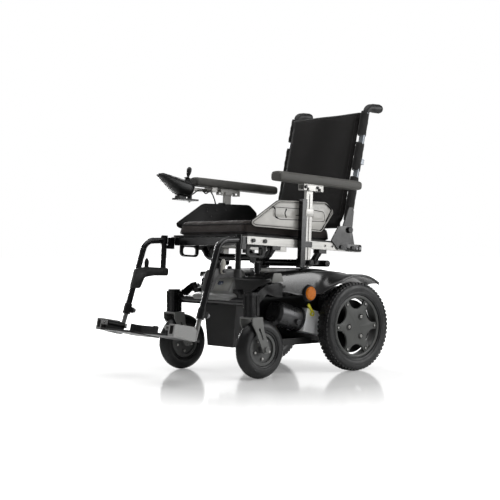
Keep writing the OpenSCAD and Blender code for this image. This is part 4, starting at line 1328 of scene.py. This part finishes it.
def heel_strap(side):
    """Webbing that loops behind the heel, with doubled ends and edge stitching."""
    matrix = FOOT @ mirrored(side)
    path = curve_through([(165, 3, 0), (164, 24, 0), (153, 37, 0), (130, 39, 0), (100, 39.5, 0),
                          (70, 39, 0), (50, 37, 0), (38, 26, 0), (35.5, 7, 0)], 8)
    low, high = -13.4, 17.0
    rings = []
    for i, p in enumerate(path):
        ahead = path[min(i + 1, len(path) - 1)] - path[max(i - 1, 0)]
        out = Vector((ahead.y, -ahead.x, 0)).normalized()
        end = i < 4 or i > len(path) - 5
        thick = 1.9 if end else 1.2
        sag = 0.8 * math.sin(0.5 * i)
        ring = []
        for along, z in ((-1, low), (1, low), (1.12, low + 3), (0.9, (low + high) / 2 + sag),
                         (1.12, high - 3), (1, high), (-1, high), (-1.12, high - 3),
                         (-0.9, (low + high) / 2 + sag), (-1.12, low + 3)):
            q = p + out * (along * thick)
            ring.append((q.x, q.y, z))
        rings.append(ring)
    shape = Shape().loft(rings)
    shape.solid(f"heel_strap_{side}", matrix, "strap_black", f"footplate_{side}",
                [f"heel_loop_{side}"], "strap_black", 50)
    clips = Shape()
    for x, y in ((165, 6), (36, 9)):
        clips.slab([(x + a, y + b) for a, b in rounded_loop(4.2, 6, 1.5)], -14.6, -7, 1)
    clips.solid(f"heel_strap_clips_{side}", matrix, "moulded_black", f"footplate_{side}")


def clamp_knob(side):
    """The thumb screw behind each leg clamp."""
    matrix = LEG @ mirrored(side) @ shift(209, 0, -249)
    profile = [(3.5, 10), (3.5, 22), (6.5, 23), (8.2, 25), (8.2, 31), (6.2, 33), (0.4, 33.4)]
    Shape().lathe(profile, 20).solid(f"leg_clamp_knob_{side}", matrix @ Z_TO_Y, "bolt_steel",
                                     f"legrest_{side}", smooth=40)


for side_name in SIDES:
    latch_lever(side_name)
    heel_strap(side_name)
    clamp_knob(side_name)
    hanger_bracket(side_name)
    rail_rear_plate(side_name)
    hub_screws(side_name)


# ------------------------------------------------------ small moulded details

def arm_knob(side):
    """A lobed clamp knob on the arm receiver."""
    lobes, count = 5, 40
    outline = []
    for k, (c, s) in enumerate(circle(count)):
        r = 11 + 2.2 * math.cos(2 * math.pi * lobes * k / count)
        outline.append((r * c, r * s))
    shape = Shape().loft([[(x * scale, y * scale, z) for x, y in outline] for z, scale in (
        (0, 0.8), (1.2, 1.0), (9, 1.0), (11, 0.86), (12, 0.5))])
    matrix = SEAT @ mirrored(side) @ shift(233.4, -214, -78) @ Z_TO_X
    shape.solid(f"arm_clamp_knob_{side}", matrix, "grip_rubber", "base", smooth=40)


def receiver_collar(side):
    """A bright collar over the upper band of the arm receiver."""
    shape = Shape()
    shape.slab([(x + 223.8, v - 223) for x, v in rounded_loop(10.8, 18.9, 2.5)], 84, 110, 1.2)
    shape.solid(f"arm_collar_{side}", SEAT @ mirrored(side), "rail_silver", "base")


def tube_plugs():
    """End caps for the seat rails."""
    shape = Shape()
    for sign in (-1, 1):
        loop = rounded_loop(11.2, 12.6, 2.5)
        shape.loft([[(sign * 200 + x, 57.3 + out, -13.5 + z) for x, z in inset(loop, d)]
                    for d, out in ((0, 0), (0, 1.4), (1.2, 2.2))])
    shape.solid("rail_plugs", SEAT, "moulded_black", "base")


for side_name in SIDES:
    arm_knob(side_name)
    receiver_collar(side_name)
tube_plugs()


# ------------------------------------------------------ stage, light, camera

HEADING = math.radians(49.442)  # the way the camera looks, turned from +Y towards -X


def stage_floor():
    """A glossy white floor that brightens to pure white away from the chair."""
    mesh = bpy.data.meshes.new("floor")
    size = 40
    mesh.from_pydata([(-size, -size, 0), (size, -size, 0), (size, size, 0), (-size, size, 0)], [],
                     [(0, 1, 2, 3)])
    floor = bpy.data.objects.new("floor", mesh)
    bpy.context.scene.collection.objects.link(floor)
    g = Graph("floor_paint")
    away = g.add("ShaderNodeVectorMath", operation="LENGTH")
    g.feed(away.inputs[0], g.place)
    near_far = g.span(away.outputs["Value"], 0.55, 1.4, 0.16, 1.0)
    seen = g.add("ShaderNodeLightPath").outputs["Is Camera Ray"]
    g.set(Base_Color=g.mix(g.noise(1.5, 2), (0.9, 0.9, 0.895), (0.93, 0.93, 0.925)),
          Roughness=0.1, Specular_IOR_Level=0.6,
          Emission_Color=(1.0, 1.0, 1.0), Emission_Strength=g.math("MULTIPLY", near_far, seen))
    mesh.materials.append(g.material)


def studio_world():
    """White to the camera; as light, dim all round with one bright wall behind the chair."""
    world = bpy.data.worlds.new("studio")
    bpy.context.scene.world = world
    world.use_nodes = True
    tree = world.node_tree
    tree.nodes.clear()
    ray = tree.nodes.new("ShaderNodeLightPath")
    light = tree.nodes.new("ShaderNodeBackground")
    ahead = tree.nodes.new("ShaderNodeVectorMath")
    ahead.operation = "DOT_PRODUCT"
    ahead.inputs[1].default_value = (-math.sin(HEADING), math.cos(HEADING), 0)
    wall = tree.nodes.new("ShaderNodeMapRange")
    for name, value in (("From Min", 0.88), ("From Max", 0.97), ("To Min", 0.22), ("To Max", 1.15)):
        wall.inputs[name].default_value = value
    toward = tree.nodes.new("ShaderNodeTexCoord")
    tree.links.new(toward.outputs["Generated"], ahead.inputs[0])
    tree.links.new(ahead.outputs["Value"], wall.inputs["Value"])
    tree.links.new(wall.outputs["Result"], light.inputs["Strength"])
    seen = tree.nodes.new("ShaderNodeBackground")
    seen.inputs["Color"].default_value = (1, 1, 1, 1)
    seen.inputs["Strength"].default_value = 1.0
    mixer = tree.nodes.new("ShaderNodeMixShader")
    out = tree.nodes.new("ShaderNodeOutputWorld")
    tree.links.new(ray.outputs["Is Camera Ray"], mixer.inputs[0])
    tree.links.new(light.outputs[0], mixer.inputs[1])
    tree.links.new(seen.outputs[0], mixer.inputs[2])
    tree.links.new(mixer.outputs[0], out.inputs[0])


def softbox(name, place, target, width, height, watts):
    data = bpy.data.lights.new(name, "AREA")
    data.shape = "RECTANGLE"
    data.size = width
    data.size_y = height
    data.energy = watts
    lamp = bpy.data.objects.new(name, data)
    lamp.location = place
    lamp.rotation_euler = (Vector(place) - Vector(target)).to_track_quat("Z", "Y").to_euler()
    bpy.context.scene.collection.objects.link(lamp)


def camera():
    """A long lens level with the seat, off the chair's front left."""
    eye = (3.09947, drive_axle.y - 2.94355, 0.43676)
    pitch = math.radians(-0.054)
    roll = math.radians(0.037)
    data = bpy.data.cameras.new("camera")
    data.lens = 81.91
    data.sensor_width = 36
    data.clip_end = 100
    view = bpy.data.objects.new("camera", data)
    view.matrix_world = (Matrix.Translation(eye)
                         @ Matrix.Rotation(HEADING, 4, "Z")
                         @ Matrix.Rotation(math.radians(90) + pitch, 4, "X")
                         @ Matrix.Rotation(roll, 4, "Z"))
    bpy.context.scene.collection.objects.link(view)
    bpy.context.scene.camera = view


stage_floor()
studio_world()
softbox("key_right", (2.8, 2.4, 1.5), (0, 0.2, 0.5), 2.4, 2.2, 80)
softbox("top", (0.3, -0.3, 3.0), (0, 0, 0.4), 3.0, 3.0, 58)
softbox("left_strip", (-3.0, 0.7, 0.9), (0, -0.1, 0.5), 0.7, 2.4, 110)
softbox("front_left", (-2.4, -3.0, 1.6), (0, -0.2, 0.4), 1.6, 2.0, 14)
camera()
bpy.context.scene.view_settings.view_transform = "Standard"
